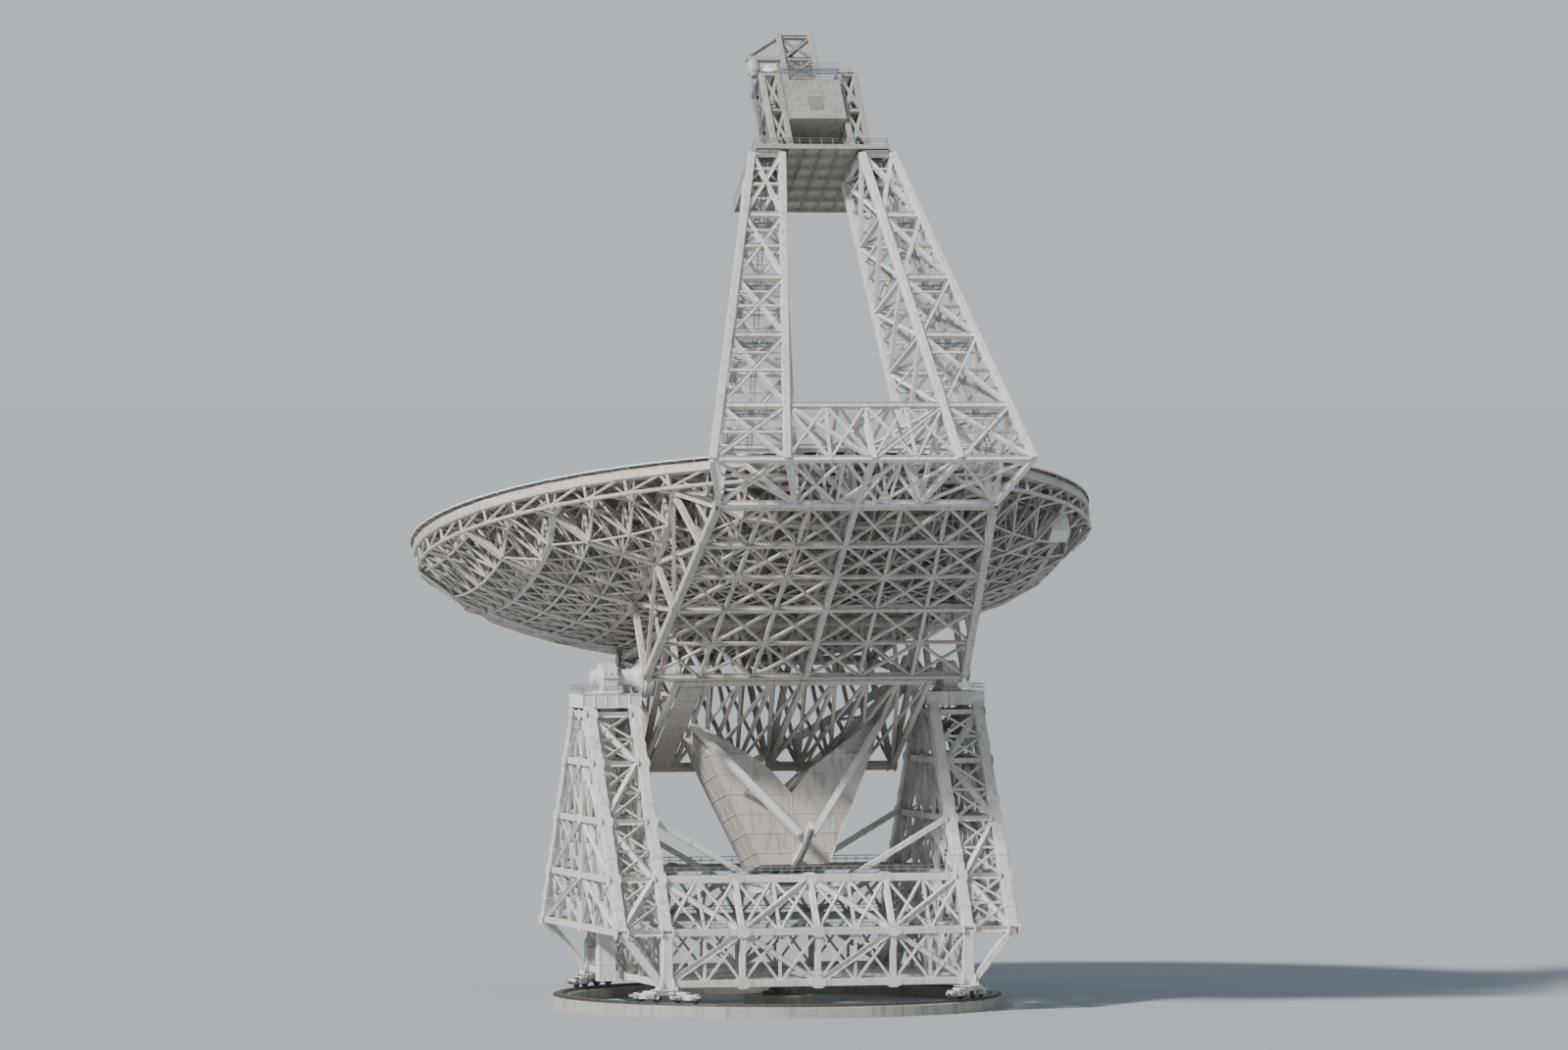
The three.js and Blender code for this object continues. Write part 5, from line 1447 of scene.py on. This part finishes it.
cabins = []
for rear, front, low, high, rows in ((-60.1, -51, DECK_HIGH + 0.01, ROOM_ROOF, (7, 7, 2)),
                                     (CABIN_REAR, -60.2, CABIN_FLOOR, CABIN_ROOF, (7, 5, 3))):
    add_shape(cabins, panelled_block((-ROOM_HALF_WIDTH, rear, low), (ROOM_HALF_WIDTH, front, high), rows,
                                     0.06, 0.05, on_side))
louvre = plate_work((2.2, 0.1, 0.12), (0, 0, 0), 0.03)
for i in range(8):
    add_shape(cabins, louvre, at(0, CABIN_REAR - 0.02, CABIN_FLOOR + 1.7 + i * 0.32) @ about("X", 28.65))
for x in (-ROOM_HALF_WIDTH, ROOM_HALF_WIDTH):
    for h in (-58.2, -52.6):
        low, high = (x - 0.06, h - 0.55, DECK_HIGH + 0.15), (x + 0.06, h + 0.55, DECK_HIGH + 2.35)
        door = panelled_block(low, high, (1, 1, 2), 0.1, 0.04, lambda face: abs(face.normal.x) > 0.9)
        add_shape(cabins, door)
finish_piece("receiver_room_and_rear_cabin", cabins, cabin_paint_and_shade, "tipping_structure",
             ["receiver_room", "rear_cabin"], smooth=0)

cooler, coolers, horns = [], [], []
add_shape(cooler, panelled_block((-1, -1.4, 0.15), (1, 1.4, 1.7), (1, 2, 4), 0.08, 0.1, on_side))
fan_ring = turned([(0.5, 1.7), (0.58, 1.7), (0.58, 1.95), (0.5, 1.95)], steps=16)
blade = plate_work((0.95, 0.16, 0.03), (0, 0, 1.85), 0.01)
for h in (-0.7, 0.7):
    add_shape(cooler, fan_ring, at(0, h, 0))
    for i in range(4):
        add_shape(cooler, blade, at(0, h, 0) @ about("Z", i * 45))
for end in (-1.2, 1.2):
    add_shape(cooler, plate_work((2, 0.15, 0.15), (0, end, 0.08), 0.03))
for x, h, v in ((-6.2, -54, DECK_HIGH), (6.2, -54, DECK_HIGH), (2.4, -62.2, CABIN_ROOF)):
    add_group(coolers, cooler, at(x, h, v))
finish_piece("cabin_cooling_units", coolers, enamel, "tipping_structure")
horn = turned([(0.5, 0), (0.5, 0.6), (1.05, 1.5), (1.15, 1.5), (1.15, 1.4), (0.62, 0.5), (0.62, 0)], steps=24)
for x, h in ((-1.9, -57.8), (1.9, -57.8), (0, -55.2), (-2.4, -53), (2.4, -53)):
    add_shape(horns, horn, at(x, h, ROOM_ROOF))
finish_piece("feed_horns", horns, pan_paint, "tipping_structure")

# Mast and subreflector. A light mast over the cabins carries the secondary mirror on four struts, with a
# boom to one side for the prime focus receiver. The mirror is a spun shell on a ribbed backing frame.
MAST_X, MAST_H = 2.4, -62.5
MAST_LEVELS = (CABIN_ROOF, 62.6, 66, 70)
MAST_TOP = 71
STRUT = BRACE * 0.7
BOOM_TIP_X = -8
MIRROR_TILT = 29.4
MIRROR_RIBS = 16

mirror_place = at(0, -57.5, 68.5) @ about("X", MIRROR_TILT)
# The struts meet behind the mirror
mirror_back = tuple(mirror_place @ Vector((0, 0, 1.6)))
mast = []
for x in (-MAST_X, MAST_X):
    add_member(mast, box_bar, (x, MAST_H, CABIN_ROOF), (x, MAST_H, MAST_TOP), BRACE)
    for level in (64, 70):
        add_member(mast, flanged, (x, MAST_H, level), mirror_back, STRUT)
    for low, high in zip(MAST_LEVELS, MAST_LEVELS[1:]):
        add_member(mast, channel, (x, MAST_H, low), (-x, MAST_H, high), LACING)
for level in MAST_LEVELS[1:]:
    add_member(mast, flanged, (-MAST_X, MAST_H, level), (MAST_X, MAST_H, level), STRUT)
add_member(mast, box_bar, (-MAST_X, MAST_H, 66), (BOOM_TIP_X, MAST_H, 66), BRACE)
add_member(mast, channel, (-MAST_X, MAST_H, 69.8), (BOOM_TIP_X + 0.6, MAST_H, 66.3), LACING)
# The prime focus receiver hangs under the end of the boom
add_shape(mast, turned([
    (0, 0), (0.5, 0), (0.55, -0.3), (0.95, -0.4), (0.95, -2.2), (0.8, -2.4), (0.75, -2.4), (0.6, -2.9),
    (0, -2.9),
], steps=20), at(BOOM_TIP_X + 1, MAST_H, 65.7))
finish_piece("mast_and_boom", mast, cabin_paint_and_shade, "tipping_structure", ["subreflector_mast"])

rib = block((2.3, 0.1, 0.5), (2.75, 0, -0.1))
pick("faces", on_top)
bpy.ops.transform.resize(value=(0.7, 1, 1))
bpy.ops.transform.translate(value=(-0.3, 0, 0.25))
rib = done(rib)
mirror = []
add_shape(mirror, turned([
    (0, 0), (1, -0.07), (2, -0.28), (3, -0.63), (3.94, -1.08), (4, -1.05), (4, -0.85), (3, -0.42), (2, -0.08),
    (1.55, 0.02), (1.6, 0.1), (1.6, 1.1), (1.5, 1.2), (0, 1.2),
], steps=48), mirror_place)
for i in range(MIRROR_RIBS):
    add_shape(mirror, rib, mirror_place @ about("Z", i * 360 / MIRROR_RIBS))
finish_piece("subreflector_mirror", mirror, pan_paint, "tipping_structure", ["subreflector"])
